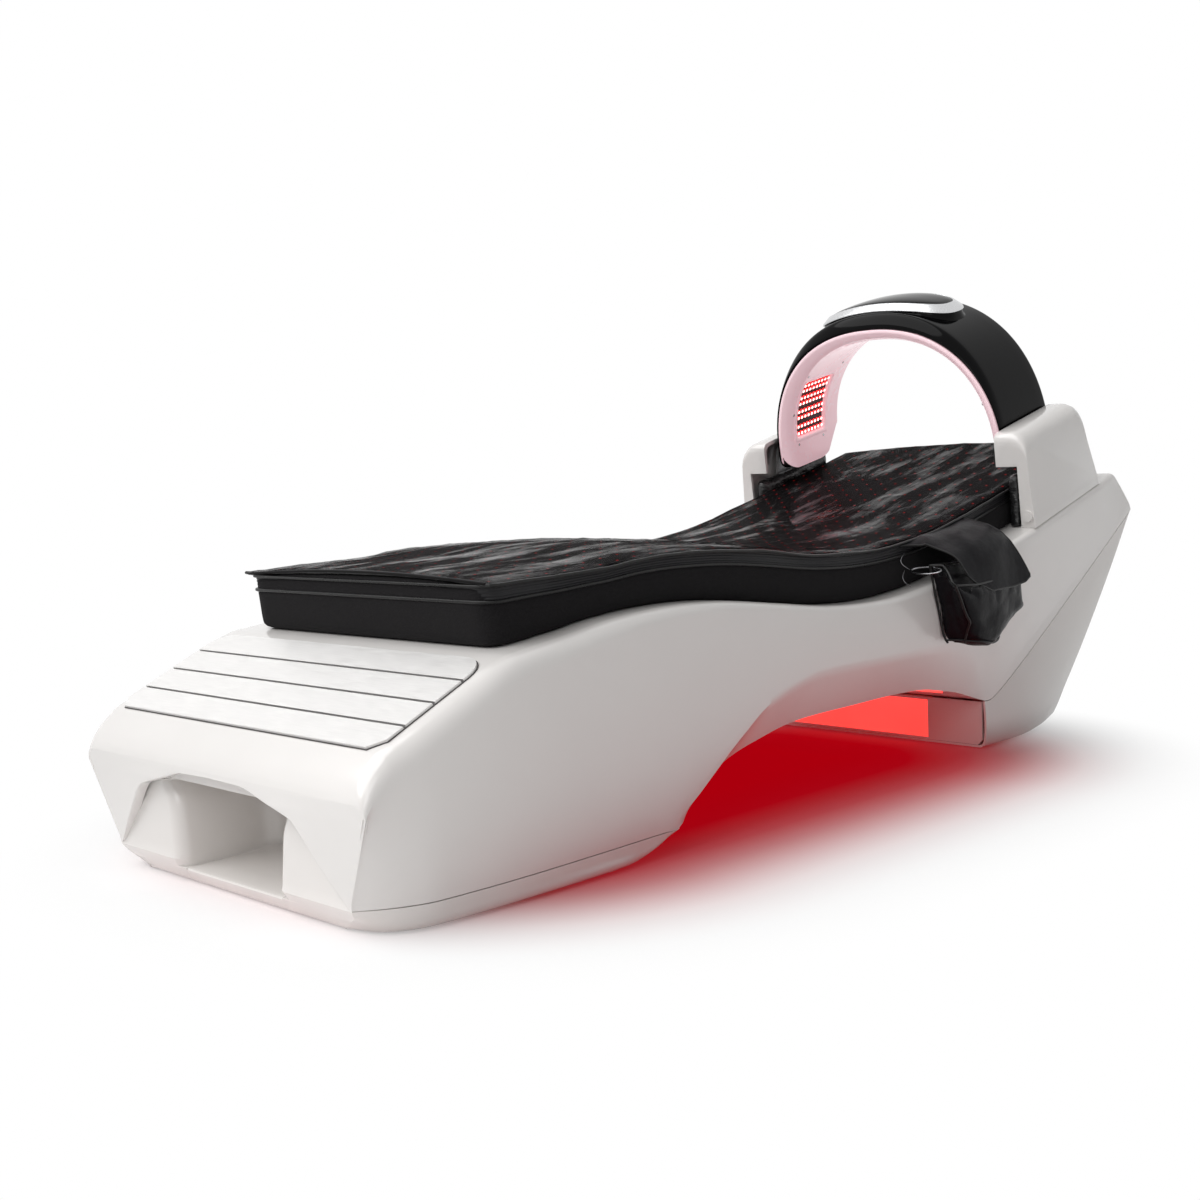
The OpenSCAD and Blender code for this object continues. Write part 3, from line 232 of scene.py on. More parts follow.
def dottedMat(name):
    # Black mat whose tiny red lamps show as dots
    mat, tree, surface = shader(name, (0.006, 0.0055, 0.006), 0.5, Emission_Strength=1.2,
                                Specular_IOR_Level=0.06)
    where = makeNode(tree, "ShaderNodeTexCoord").outputs["Object"]
    split = makeNode(tree, "ShaderNodeSeparateXYZ", None, Vector=where)
    flat = makeNode(tree, "ShaderNodeCombineXYZ", None, X=split.outputs["X"], Y=split.outputs["Y"])
    grid = {"Scale": 24.0, "Randomness": 0.0, "voronoi_dimensions": "2D"}
    cells = makeNode(tree, "ShaderNodeTexVoronoi", grid, Vector=flat.outputs[0])
    dots = ramp(tree, cells.outputs["Distance"], [(0.0, (1, 1, 1)), (0.04, (1, 1, 1)), (0.07, (0, 0, 0))])
    red = {"blend_type": "MULTIPLY", "Fac": 1.0, "Color2": (0.9, 0.03, 0.03, 1)}
    lit = makeNode(tree, "ShaderNodeMixRGB", red, Color1=dots)
    tree.links.new(lit.outputs[0], surface.inputs["Emission Color"])
    bump(tree, surface, spots(tree, 500, 2), 0.2, 0.0006)
    return mat


def clearFilm(name):
    # Clear vinyl over the black mat: its gloss comes and goes in streaks
    mat, tree, surface = shader(name, (0.008, 0.0075, 0.008), 0.08, Specular_IOR_Level=0.0,
                                Coat_Roughness=0.05, Alpha=0.35)
    streaks = spots(tree, 8, 6, (2.4, 0.5, 1), 0.65)
    tree.links.new(spread(tree, streaks, 0.03, 1.0, 0.5, 0.66), surface.inputs["Coat Weight"])
    wide = spots(tree, 9, 5, (1.7, 0.5, 1), 0.6)
    fine = bump(tree, surface, spots(tree, 60, 3, (1, 0.4, 1)), 0.25, 0.002)
    bump(tree, surface, wide, 0.5, 0.012, fine)
    return mat


finish = {
    "shellWhite": lacquer("shellWhite", (0.80, 0.775, 0.755), coat=0.35),
    "panWhite": lacquer("panWhite", (0.79, 0.76, 0.735), coat=0.35),
    "stepSilver": brushed("stepSilver", (0.72, 0.71, 0.70), 0.42, (1, 40, 40), 0.75),
    "backingDark": moulded("backingDark", (0.05, 0.045, 0.045), 0.6),
    "glowRed": glowing("glowRed", (1.0, 0.06, 0.05), 1.3),
    "frameSteel": moulded("frameSteel", (0.12, 0.12, 0.125), 0.45, 300, 0.15, Metallic=0.6),
    "ribPly": plywood("ribPly"),
    "rubber": moulded("rubber", (0.02, 0.02, 0.02), 0.8, 180, 0.3),
    "boxMetal": brushed("boxMetal", (0.55, 0.56, 0.57), 0.38),
    "inletBlack": moulded("inletBlack", (0.025, 0.025, 0.026), 0.5),
    "knitBlack": knit("knitBlack", (0.006, 0.0055, 0.006), sheen=0.02),
    "zipTape": moulded("zipTape", (0.012, 0.0115, 0.013), 0.45, 900, 0.5, Specular_IOR_Level=0.2),
    "hemBlack": leather("hemBlack", (0.008, 0.008, 0.008), 0.3, 0.4, 0.2),
    "matBlack": dottedMat("matBlack"),
    "clearFilm": clearFilm("clearFilm"),
    "padLeather": leather("padLeather", (0.009, 0.009, 0.0095), 0.24, 1.8, 0.4),
    "pivotSteel": brushed("pivotSteel", (0.6, 0.6, 0.61), 0.3),
    "washerBlack": moulded("washerBlack", (0.03, 0.03, 0.03), 0.55),
    "archBlack": lacquer("archBlack", (0.003, 0.003, 0.0034), 0.06, 0.0, Specular_IOR_Level=0.07),
    # The liner's pink emission is painted light: a glow that brightens it where the arch shades it
    "linerPinkPaintedGlow": lacquer("linerPinkPaintedGlow", (0.84, 0.66, 0.70), 0.22, 0.4, Emission_Strength=0.4,
                         Emission_Color=(0.95, 0.62, 0.68, 1)),
    "bandSilver": brushed("bandSilver", (0.62, 0.625, 0.635), 0.26, (0.6, 30, 30)),
    "boardBlack": moulded("boardBlack", (0.012, 0.011, 0.013), 0.5, 700, 0.3),
    "lampRim": glowing("lampRim", (0.8, 0.03, 0.03), 1.8),
    "lampHot": glowing("lampHot", (1.0, 0.60, 0.58), 3.0),
    "pouchSatin": satin("pouchSatin", (0.0035, 0.0032, 0.0042)),
    "wire": brushed("wire", (0.25, 0.25, 0.26), 0.25),
}
print("finishes made")


# Reading curves through given points
def smoothAt(points, s):
    last = len(points) - 1
    s = min(max(s, points[0][0]), points[last][0])
    i = 0
    while i < last - 1 and s > points[i + 1][0]:
        i += 1

    def tilt(k):
        a, b = points[max(k - 1, 0)], points[min(k + 1, last)]
        return (b[1] - a[1]) / (b[0] - a[0])

    h = points[i + 1][0] - points[i][0]
    t = (s - points[i][0]) / h
    return (points[i][1] * (2 * t ** 3 - 3 * t ** 2 + 1) + tilt(i) * h * (t ** 3 - 2 * t ** 2 + t)
            + points[i + 1][1] * (3 * t ** 2 - 2 * t ** 3) + tilt(i + 1) * h * (t ** 3 - t ** 2))


def brokenAt(points, s):
    s = min(max(s, points[0][0]), points[-1][0])
    for a, b in zip(points, points[1:]):
        if s <= b[0]:
            return a[1] + (s - a[0]) / (b[0] - a[0]) * (b[1] - a[1])
    return points[-1][1]


def mix(a, b, t):
    return a + (b - a) * t


def mixed(p, q, t):
    return tuple(mix(a, b, t) for a, b in zip(p, q))


def steps(a, b, n):
    return [mix(a, b, k / n) for k in range(n + 1)]


def rounded(points, radius, turns=5):
    # A broken line in the plane with its inner corners rounded
    out = [points[0]]
    for before, corner, after in zip(points, points[1:], points[2:]):
        c = Vector(corner)
        toBefore = Vector(before) - c
        toAfter = Vector(after) - c
        r = min(radius, toBefore.length * 0.45, toAfter.length * 0.45)
        a = c + toBefore.normalized() * r
        b = c + toAfter.normalized() * r
        for k in range(turns + 1):
            t = k / turns
            out.append(tuple(a * (1 - t) ** 2 + c * 2 * t * (1 - t) + b * t ** 2))
    out.append(points[-1])
    return out


def sampled(points, count):
    # As many points as asked for, evenly spaced along a broken line
    lengths = [0]
    for a, b in zip(points, points[1:]):
        lengths.append(lengths[-1] + (Vector(b) - Vector(a)).length)
    out = []
    for k in range(count):
        want = lengths[-1] * k / (count - 1)
        i = 0
        while i < len(points) - 2 and lengths[i + 1] < want:
            i += 1
        out.append(mixed(points[i], points[i + 1], (want - lengths[i]) / (lengths[i + 1] - lengths[i])))
    return out


# Making meshes
def alongBed(p):
    return Vector((p[0], p[1] - bed["length"] / 2, p[2])) * 0.001


def makePiece(name, verts, faces, material, sharp=32):
    mesh = bpy.data.meshes.new(name)
    mesh.from_pydata(verts, [], faces)
    tidy = bmesh.new()
    tidy.from_mesh(mesh)
    bmesh.ops.remove_doubles(tidy, verts=tidy.verts, dist=1e-5)
    bmesh.ops.dissolve_degenerate(tidy, edges=tidy.edges, dist=1e-6)
    bmesh.ops.recalc_face_normals(tidy, faces=tidy.faces)
    tidy.to_mesh(mesh)
    tidy.free()
    piece = bpy.data.objects.new(name, mesh)
    bpy.context.scene.collection.objects.link(piece)
    piece.data.materials.append(finish[material])
    shadeSmooth(piece, sharp)
    return piece


def shadeSmooth(piece, sharp=32):
    for face in piece.data.polygons:
        face.use_smooth = True
    piece.data.set_sharp_from_angle(angle=math.radians(sharp))


def netFaces(rows, cols, loop=False, keep=None):
    faces = []
    for i in range(rows - 1):
        for j in range(cols if loop else cols - 1):
            if keep and not keep(i, j):
                continue
            k = (j + 1) % cols
            faces.append((i * cols + j, i * cols + k, (i + 1) * cols + k, (i + 1) * cols + j))
    return faces


def netPiece(name, rows, material, place=alongBed, loop=False, caps=False, keep=None, sharp=32):
    verts = [place(p) for row in rows for p in row]
    cols = len(rows[0])
    faces = netFaces(len(rows), cols, loop, keep)
    if caps:
        faces.append(tuple(range(cols)))
        faces.append(tuple(range((len(rows) - 1) * cols, len(rows) * cols)))
    return makePiece(name, verts, faces, material, sharp)


def withModifiers(piece, *modifiers):
    # Adds modifiers, each (kind, settings), and applies them
    for kind, settings in modifiers:
        made = piece.modifiers.new(kind, kind)
        for key, value in settings.items():
            setattr(made, key, value)
    bpy.context.view_layer.update()
    graph = bpy.context.evaluated_depsgraph_get()
    mesh = bpy.data.meshes.new_from_object(piece.evaluated_get(graph))
    piece.modifiers.clear()
    piece.data = mesh
    return piece


def cutAway(piece, cutter):
    withModifiers(piece, ("BOOLEAN", {"operation": "DIFFERENCE", "object": cutter, "solver": "EXACT"}))
    bpy.data.objects.remove(cutter)


def solid(wall):
    return ("SOLIDIFY", {"thickness": wall * 0.001, "offset": -1})


def softEdges(width, angle=35, segments=3):
    return ("BEVEL", {"width": width * 0.001, "segments": segments, "limit_method": "ANGLE",
                      "angle_limit": math.radians(angle), "use_clamp_overlap": True})


def joinedPiece(name, pieces):
    target = pieces[0]
    with bpy.context.temp_override(active_object=target, selected_editable_objects=pieces, object=target):
        bpy.ops.object.join()
    target.name = name
    return target


def settle(piece, body, slot, *nodes):
    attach(piece, body)
    if nodes:
        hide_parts(*nodes)
    return piece


# The bed's lines: heights and half widths read along the bed
slopeStart, slopeEnd = (54, 283), (278, 387)
deckLine = [
    slopeStart, slopeEnd, (340, 398), (450, 411), (560, bed["crest"] - 7), (700, bed["crest"]),
    (840, bed["crest"] - 6), (1000, bed["crest"] - 26), (1150, bed["dip"] + 6), (1300, bed["dip"]),
    (1440, bed["dip"] + 9), (blockS - 150, bed["dip"] + 37), (blockS + 20, bed["tail"] - 134),
    (blockS + 136, bed["tail"] - 101), (blockS + 400, bed["tail"] - 26), (tailS, bed["tail"]),
]
creaseLine = [
    (0, 57), (600, 57), (672, 62), (726, 86), (779, 118), (833, 154), (885, 187), (939, 219),
    (993, 238), (1054, 254), (1116, 264), (1300, 265), (blockS - 200, 262), (blockS - 110, 240),
    (blockS - 40, 190), (blockS, 150),
]
lipLine = [
    (0, 45), (640, 45), (684, 46), (737, 77), (792, 105), (848, 122), (905, 135), (964, 146),
    (1087, 164), (1300, 168), (blockS - 300, 169), (blockS - 205, 164), (blockS - 100, 144),
    (blockS - 20, 118), (blockS, 112),
]
footHalf, waistHalf, headHalf = bed["footHalf"], bed["waistHalf"], bed["headHalf"]
floorGap = bed["floorGap"]
deckHalf = [
    (0, footHalf - 11), (54, footHalf - 8), (120, footHalf - 2), (230, footHalf), (307, footHalf - 4),
    (400, footHalf - 12), (500, footHalf - 20), (700, waistHalf + 8), (930, waistHalf),
    (1300, waistHalf), (1490, waistHalf + 3), (blockS + 20, headHalf - 5), (blockS + 136, headHalf),
    (blockS + 400, headHalf), (tailS, headHalf - 12),
]
lipHalf = [
    (0, footHalf - 81), (20, footHalf - 81), (50, footHalf - 59), (80, footHalf - 41),
    (120, footHalf - 25), (160, footHalf - 20), (300, footHalf - 16), (500, footHalf - 22),
    (600, footHalf - 27), (684, waistHalf + 6), (737, waistHalf - 16), (792, waistHalf - 33),
    (848, waistHalf - 41), (916, waistHalf - 51), (1111, waistHalf - 60), (blockS - 300, waistHalf - 60),
    (blockS - 187, waistHalf - 56), (blockS, headHalf - 72),
]
creaseHalf = [
    (0, footHalf - 79), (20, footHalf - 79), (50, footHalf - 57), (80, footHalf - 39),
    (120, footHalf - 23), (160, footHalf - 18), (300, footHalf - 14), (500, footHalf - 20),
    (600, footHalf - 25), (684, waistHalf + 9), (792, waistHalf + 1), (921, waistHalf - 1),
    (blockS - 214, waistHalf - 2), (blockS - 100, waistHalf - 14), (blockS, headHalf - 67),
]
edgeRadius = [(0, 40), (300, 40), (900, 18), (blockS, 14), (tailS, 12)]
headSeam = [
    (blockS, 112), (blockS + 29, 113), (blockS + 82, 142), (blockS + 203, 225), (blockS + 412, 380),
    (bed["length"], bed["stern"]),
]
noseFace = [(45, 20), (100, 9), (150, 3), (185, 0), (214, 2)]
nosePath = [(2, 214), (6, 228), (16, 246), (32, 264), slopeStart]
noseLip = [20, 28, 44, 62, 84]


def deckAt(s):
    return brokenAt(deckLine, s) if s < slopeEnd[0] else smoothAt(deckLine, s)


def deckSoftAt(s):
    # The deck with the corner at the top of the foot slope eased
    reach = 30
    if abs(s - slopeEnd[0]) > reach:
        return deckAt(s)
    a, b = deckAt(slopeEnd[0] - reach), deckAt(slopeEnd[0] + reach)
    t = (s - slopeEnd[0] + reach) / (2 * reach)
    return a * (1 - t) ** 2 + slopeEnd[1] * 2 * t * (1 - t) + b * t ** 2


# Upper shell
shellLook = {"bandSteps": 5, "flankSteps": 14, "edgeSteps": 8, "deckSteps": 6, "rowPitch": 13,
             "edgeRound": 3.5, "cutReturn": 17, "bulge": 4, "noseLag": 30, "noseEnd": 160}


def halfSection(top, low, halves, creaseZ, radius, bulge):
    topS, topZ = top
    lowS, lowZ = low
    deckX, creaseX, lipX = halves

    def at(x, z):
        return (x, mix(lowS, topS, (z - lowZ) / (topZ - lowZ)), z)

    out = [at(mix(lipX, creaseX, t), mix(lowZ, creaseZ, t))
           for t in steps(0, 1, shellLook["bandSteps"])[:-1]]
    for t in steps(0, 1, shellLook["flankSteps"]):
        swell = bulge * min(1, 4.4 * t * (1 - t))
        out.append(at(mix(creaseX, deckX, t) + swell, mix(creaseZ, topZ - radius, t)))
    for a in steps(0, math.pi / 2, shellLook["edgeSteps"])[1:]:
        out.append(at(deckX - radius + radius * math.cos(a), topZ - radius + radius * math.sin(a)))
    for t in steps(0, 1, shellLook["deckSteps"])[1:]:
        out.append(at((deckX - radius) * (1 - t), topZ))
    return out


def bothHalves(half):
    return [(-x, s, z) for x, s, z in half[:-1]] + [half[-1]] + list(reversed(half[:-1]))


def fromMiddle(half):
    return [(-x, s, z) for x, s, z in reversed(half[1:])] + half


def twoSides(half):
    return [(-x, s, z) for x, s, z in reversed(half)] + half


def bodySection(s):
    # Near the nose the lower edge lies further back than the deck above it
    end = shellLook["noseEnd"]
    low = s + shellLook["noseLag"] * max(0, (end - s) / (end - slopeStart[0]))
    return halfSection((s, deckSoftAt(s)), (low, smoothAt(lipLine, low)),
                       (smoothAt(deckHalf, s), smoothAt(creaseHalf, low), smoothAt(lipHalf, low)),
                       smoothAt(creaseLine, low), smoothAt(edgeRadius, s), shellLook["bulge"])


def noseSection(q):
    s = smoothAt([(i, p[0]) for i, p in enumerate(nosePath)], q)
    z = smoothAt([(i, p[1]) for i, p in enumerate(nosePath)], q)
    low = smoothAt(list(enumerate(noseLip)), q)
    return halfSection((s, z), (low, bed["seam"]),
                       (smoothAt(deckHalf, s), smoothAt(creaseHalf, low), smoothAt(lipHalf, low)),
                       57, 22 + 4 * q, q)


def seamHalfAt(z):
    # Half width of the head block's seam at a height: it widens on its way up to the stern
    foot = headSeam[0][1]
    return headHalf - 72 + (z - foot) / (bed["stern"] - foot) * 60


def headSection(t):
    topS = mix(blockS, tailS, t)
    lowS = mix(blockS, bed["length"], t)
    lowZ = smoothAt(headSeam, lowS)
    lowX = seamHalfAt(lowZ)
    return halfSection((topS, deckSoftAt(topS)), (lowS, lowZ),
                       (smoothAt(deckHalf, topS), lowX + 5 - 2 * t, lowX),
                       lowZ + 38 - 26 * t, smoothAt(edgeRadius, topS), shellLook["bulge"] - 3 * t)


# Half of the cut-out in the nose: across and height
cutCorners = [(footHalf - 88, 47), (232, 170), (96, 204), (0, 206)]


def cutSection(grow=0, back=0):
    outline = rounded(cutCorners, 14)
    flat = sampled(outline, shellLook["bandSteps"] + shellLook["flankSteps"] + 1
                   + shellLook["edgeSteps"] + shellLook["deckSteps"])
    return [(x + grow * (x > 1), brokenAt(noseFace, z) + back, z + grow * 0.6) for x, z in flat]


def upperShell():
    first = noseSection(0)
    edge = cutSection()
    rows = [cutSection(-1.5, shellLook["cutReturn"]), cutSection(-1.5, 5), cutSection(0, 1)]
    for t in (0.02, 0.2, 0.4, 0.6, 0.8, 0.96, 1):
        rows.append([mixed(a, b, t) for a, b in zip(edge, first)])
    rows += [noseSection(q) for q in steps(0, 4, 14)[1:]]
    count = round((blockS - 120) / shellLook["rowPitch"])
    rows += [bodySection(s) for s in steps(75, 120, 3)[:-1]]
    rows += [bodySection(s) for s in steps(120, blockS, count)]
    rows += [headSection(t) for t in steps(0, 1, 40)[1:]]
    verts = [alongBed(p) for row in rows for p in bothHalves(row)]
    cols = 2 * len(first) - 1
    faces = netFaces(len(rows), cols)
    start = (len(rows) - 1) * cols
    for j in range(cols // 2):
        a, b = start + j, start + cols - 1 - j
        faces.append((a, b, b - 1, a + 1) if b - 1 != a + 1 else (a, b, a + 1))
    piece = makePiece("upperShell", verts, faces, "shellWhite")
    withModifiers(piece, softEdges(shellLook["edgeRound"], 30), solid(bed["wall"]))
    shadeSmooth(piece, 40)
    return settle(piece, "bed", "shell_white", "upper_shell")


upperShell()
print("upper shell made")

# Foot pan with the recess moulded into its front
panLook = {"recessDepth": 190, "recessHalf": 147, "mouthRadius": 26, "backRadius": 42, "gap": 1.5,
           "top": 178, "floor": 28, "wall": 3,
           "floorEdge": [(-4, 1), (-1.2, 4), (0, 14), (0.6, 60), (0.9, 150), (3, 176), (8, 188)],
           "lintel": [(-0.5, 186, 0), (0, 100, 2), (0.2, 12, 7), (2.6, 12, 7), (2.8, 8, 0), (36, 8, 0)]}
# Each row of the pan's side: station at the seam and at the foot, the foot's height and half width
panRows = [
    (682, 680, bed["seam"] - 4.5, waistHalf + 2), (660, 656, 33, waistHalf + 4),
    (625, 622, 19, waistHalf + 8), (579, 579, 7, waistHalf + 10), (530, 530, floorGap, footHalf - 24),
    (400, 400, floorGap, footHalf - 20), (250, 250, floorGap, footHalf - 20),
    (150, 152, floorGap, footHalf - 25), (110, 114, floorGap, footHalf - 32),
    (74, 80, floorGap, footHalf - 50), (44, 60, floorGap, footHalf - 76), (20, 45, floorGap, footHalf - 126),
]


def panSide(row, q):
    # A point of the pan's side, q from the bottom to the seam
    top, bottom, z0, x0 = row
    z1 = smoothAt(lipLine, top) - panLook["gap"]
    x1 = smoothAt(lipHalf, top)
    x = smoothAt([(0, x0 - 9), (0.08, x0 - 3), (0.25, x0 + 2), (0.6, mix(x0, x1, 0.75)), (1, x1)], q)
    return (x, mix(bottom, top, q), mix(z0, z1, q))


def panRowAt(t):
    return tuple(smoothAt([(i, row[k]) for i, row in enumerate(panRows)], t) for k in range(4))


panSteps = steps(0, 1, 10)


def footPanSides():
    return [twoSides([panSide(panRowAt(t), q) for q in panSteps]) for t in steps(0, len(panRows) - 1, 70)]


def recessLevel(z, depth, half, face, outer):
    # One level of the pan's front, from the middle to its outer edge
    mouth = min(panLook["mouthRadius"], depth * 0.5)
    back = min(panLook["backRadius"], depth * 0.45)
    rear = face + depth
    out = [(x, rear, z) for x in steps(0, half - back, 5)]
    for a in steps(0, math.pi / 2, 6)[1:]:
        out.append((half - back + back * math.sin(a), rear - back + back * math.cos(a), z))
    for s in steps(rear - back, face + mouth, 5)[1:]:
        out.append((half, s, z))
    for a in steps(0, math.pi / 2, 7)[1:]:
        out.append((half + mouth - mouth * math.cos(a), face + mouth - mouth * math.sin(a), z))
    start = half + mouth
    out += [(mix(start, outer, t), face, z) for t in (0.25, 0.5, 0.75, 1)]
    return out


def panLevels():
    # The pan's front from the foot to the lintel: height, recess depth, half width, station, outer edge
    seamZ, floorZ, top = bed["seam"] - panLook["gap"], panLook["floor"], panLook["top"]
    half, deep = panLook["recessHalf"], panLook["recessDepth"]
    frontRow = panRows[-1]
    levels = []
    for q in panSteps:
        x, s, z = panSide(frontRow, q)
        if z < floorZ - 5:
            levels.append((z, 0.5, half, s, x))
        if z > floorZ + 12:
            levels.append((z, deep, half, s, x))
    for up, depth in panLook["floorEdge"]:
        x, s, z = panSide(frontRow, (floorZ + up - floorGap) / (seamZ - floorGap))
        levels.append((z, depth, half, s, x))
    levels.sort()
    seamS = levels[-1][3]
    for z in steps(50, top - 3, 9):
        reach = brokenAt([(high, x) for x, high in cutCorners[:3]] + [(214, 60)], z)
        flare = 14 * (z - 50) / 128 + 22 * max(0, (z - 120) / 58) ** 2
        levels.append((z, deep, half + flare, seamS + 1 + 0.02 * z, reach + 10))
    lastHalf, face = levels[-1][2], levels[-1][3]
    for up, depth, back in panLook["lintel"]:
        reach = brokenAt([(170, 262), (204, 170), (214, 150)], top + up)
        levels.append((top + up, depth, lastHalf - 6, face + back, max(reach, lastHalf + 20)))
    return levels


def footPan():
    rows = []
    for z, depth, half, face, x in panLevels():
        outer = max(x, half + min(panLook["mouthRadius"], depth * 0.5) + 4)
        rows.append(recessLevel(z, depth, half, face, outer))
    sides = footPanSides()
    front = [alongBed(p) for row in rows for p in fromMiddle(row)]
    faces = netFaces(len(rows), 2 * len(rows[0]) - 1)
    faces += [tuple(len(front) + k for k in face) for face in netFaces(len(sides), len(sides[0]))]
    piece = makePiece("footPan", front + [alongBed(p) for row in sides for p in row], faces, "panWhite")
    withModifiers(piece, softEdges(2.5, 38, 2), solid(panLook["wall"]))
    shadeSmooth(piece, 42)
    return settle(piece, "bed", "shell_white", "foot_pan", "front_panel", "recess_liner")


footPan()
print("foot pan made")

# Head pan, the lower shell of the head block
sternFoot = [
    (blockS, floorGap, headHalf - 74), (blockS + 58, floorGap, headHalf - 72),
    (blockS + 120, floorGap, headHalf - 73), (blockS + 190, floorGap, headHalf - 77),
    (blockS + 245, 8, headHalf - 81), (blockS + 295, 15, headHalf - 85),
    (bed["length"] - 230, 30, headHalf - 89),
]
sternShare = [0, 0.12, 0.3, 0.5, 0.7, 0.86, 1]
inletLook = {"width": 48, "height": 28, "deep": 90}


def headPan():
    rows = []
    for t in steps(0, 1, 44):
        foot = [smoothAt([(share, point[k]) for share, point in zip(sternShare, sternFoot)], t)
                for k in range(3)]
        topS = mix(blockS, bed["length"], t)
        topZ = smoothAt(headSeam, topS)
        topX = seamHalfAt(topZ)
        half = []
        for q in steps(0, 1, 16):
            x = smoothAt([(0, foot[2] - 10), (0.04, foot[2] - 4), (0.1, foot[2] + 1),
                          (0.35, mix(foot[2], topX, 0.3) + 4), (0.7, mix(foot[2], topX, 0.7) + 3),
                          (1, topX)], q)
            half.append((x, mix(foot[0], topS, q), mix(foot[1], topZ - 1.5, q)))
        rows.append(twoSides(half))
    cols = len(rows[0])
    verts = [alongBed(p) for row in rows for p in row]
    faces = netFaces(len(rows), cols)
    start = (len(rows) - 1) * cols
    for j in range(cols // 2 - 1):
        faces.append((start + j, start + cols - 1 - j, start + cols - 2 - j, start + j + 1))
    piece = makePiece("headPan", verts, faces, "panWhite")
    withModifiers(piece, softEdges(5, 30), solid(bed["wall"]))
    cutInlet(piece)
    shadeSmooth(piece, 40)
    return settle(piece, "bed", "shell_white", "head_pan")


def cutInlet(piece):
    low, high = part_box("power_inlet")
    bpy.ops.mesh.primitive_cube_add(size=1, location=(low + high) / 2)
    cutter = bpy.context.object
    tilt = math.atan2(bed["stern"] - 30, 230)
    cutter.rotation_euler = (tilt, 0, 0)
    cutter.scale = (inletLook["width"] * 0.001, inletLook["height"] * 0.001, inletLook["deep"] * 0.001)
    cutAway(piece, cutter)


headPan()
print("head pan made")

# Side housings of the arch
houseLook = {"height": 210, "lean": 22.5, "inner": 334, "round": 46, "wall": 8, "notchX": 387,
             "notchZ": 631, "notchRise": 85, "outLean": 12}
houseStart = blockS + 112
houseEnd = blockS + 416


def houseProfile(inset, drop):
    foot = deckAt(houseStart) + 0.8
    z1 = foot + houseLook["height"]
    z2 = z1 + 73
    d = drop + inset
    run = houseStart + inset + houseLook["lean"] * d / (houseLook["height"] - 22) - houseLook["lean"]
    corners = [
        (houseStart + inset, foot), (run - 2, z1 + 2 - d), (houseStart + 60, z1 + 25 - d),
        (houseStart + 228, z2 - 3 - d), (houseStart + 248 - inset, z2 - 26 - d),
        (houseEnd - inset, deckAt(houseEnd - inset) + 0.8),
    ]
    return sampled(rounded(corners, 17, 7), 64)


def housing(side, name, node):
    lean = houseLook["outLean"]
    outerX = headHalf - 2

    def row(a, inset):
        rise = math.sin(a)
        drop = houseLook["round"] * (1 - math.cos(a)) * 0.9
        points = []
        for s, z in houseProfile(inset, drop):
            out = outerX - lean - inset - houseLook["round"] + houseLook["round"] * rise
            out += lean * max(0, houseLook["notchZ"] + 60 - z) / 190 * rise
            points.append((side * out, s, z))
        return points

    def net(inset):
        rows = [[(side * houseLook["inner"], s, z) for s, z in houseProfile(inset, 0)]]
        return rows + [row(a, inset) for a in steps(0, math.pi / 2, 10)]

    outer, inner = net(0), net(houseLook["wall"])
    cols = len(outer[0])
    count = len(outer)
    verts = [alongBed(p) for row in outer + inner for p in row]
    n = count * cols
    faces = netFaces(count, cols)
    faces += [tuple(n + k for k in f) for f in netFaces(count, cols)]
    o = (count - 1) * cols
    faces.append(tuple(range(o, o + cols)))
    faces.append(tuple(range(n + o, n + o + cols)))
    for j in range(cols - 1):
        faces.append((j, j + 1, n + j + 1, n + j))
    for i in range(count - 1):
        for j in (0, cols - 1):
            a, b = i * cols + j, (i + 1) * cols + j
            faces.append((a, b, n + b, n + a))
    faces.append((o, o + cols - 1, n + o + cols - 1, n + o))
    piece = makePiece(name, verts, faces, "shellWhite")
    cutNotch(piece, side)
    withModifiers(piece, softEdges(1.6, 50, 2))
    shadeSmooth(piece, 38)
    return settle(piece, "bed", "shell_white", node)


def cutNotch(piece, side):
    # Room for the arch's foot and the leather pad, cut out of the housing's inner side
    low, high = houseLook["notchZ"], houseLook["notchZ"] + houseLook["notchRise"]
    notch = [
        (houseStart - 60, 400), (houseEnd + 60, 400), (houseEnd + 60, high), (houseEnd - 20, high),
        (houseStart, low), (houseStart - 60, low),
    ]
    ends = (side * (houseLook["inner"] - 10), side * houseLook["notchX"])
    rows = [[(x, s, z) for s, z in rounded(notch + [notch[0]], 6, 3)[:-1]] for x in ends]
    cutAway(piece, netPiece("cutter", rows, "shellWhite", loop=True, caps=True))


housing(1, "housingRight", "housing_right")
housing(-1, "housingLeft", "housing_left")
print("housings made")

# Arch: outer shell, liner with its lamp windows, pod and band
archLook = {
    "half": 328, "rise": 317, "flare": 30, "shoulder": 25, "depth": 218, "band": 36, "lean": 12.7,
    "station": blockS + 143, "height": 661, "roundness": 2.26, "legEnd": -25, "frontCorner": 34,
    "rearCorner": 95, "windowLow": 36, "windowHigh": 165, "boardDepth": 28, "edgeRound": 13,
    "perDegree": 5.4,
}
# Lamp windows as angles round the arch: right, top and left
windows = [(7, 40), (75, 105), (140, 173)]


def inArch(p):
    lean = math.radians(archLook["lean"])
    x, v, w = p
    return alongBed((x, archLook["station"] + v * math.cos(lean) - w * math.sin(lean),
                     archLook["height"] + v * math.sin(lean) + w * math.cos(lean)))


def swollen(c):
    return math.copysign(abs(c) ** (2 / archLook["roundness"]), c)


def legEndAt(v):
    low = archLook["legEnd"]
    front, rear = archLook["frontCorner"], archLook["rearCorner"]
    if v < front:
        low += front - math.sqrt(max(0, front ** 2 - (front - v) ** 2))
    past = v - (archLook["depth"] - rear)
    if past > 0:
        low += rear - math.sqrt(max(0, rear ** 2 - past ** 2))
    return low


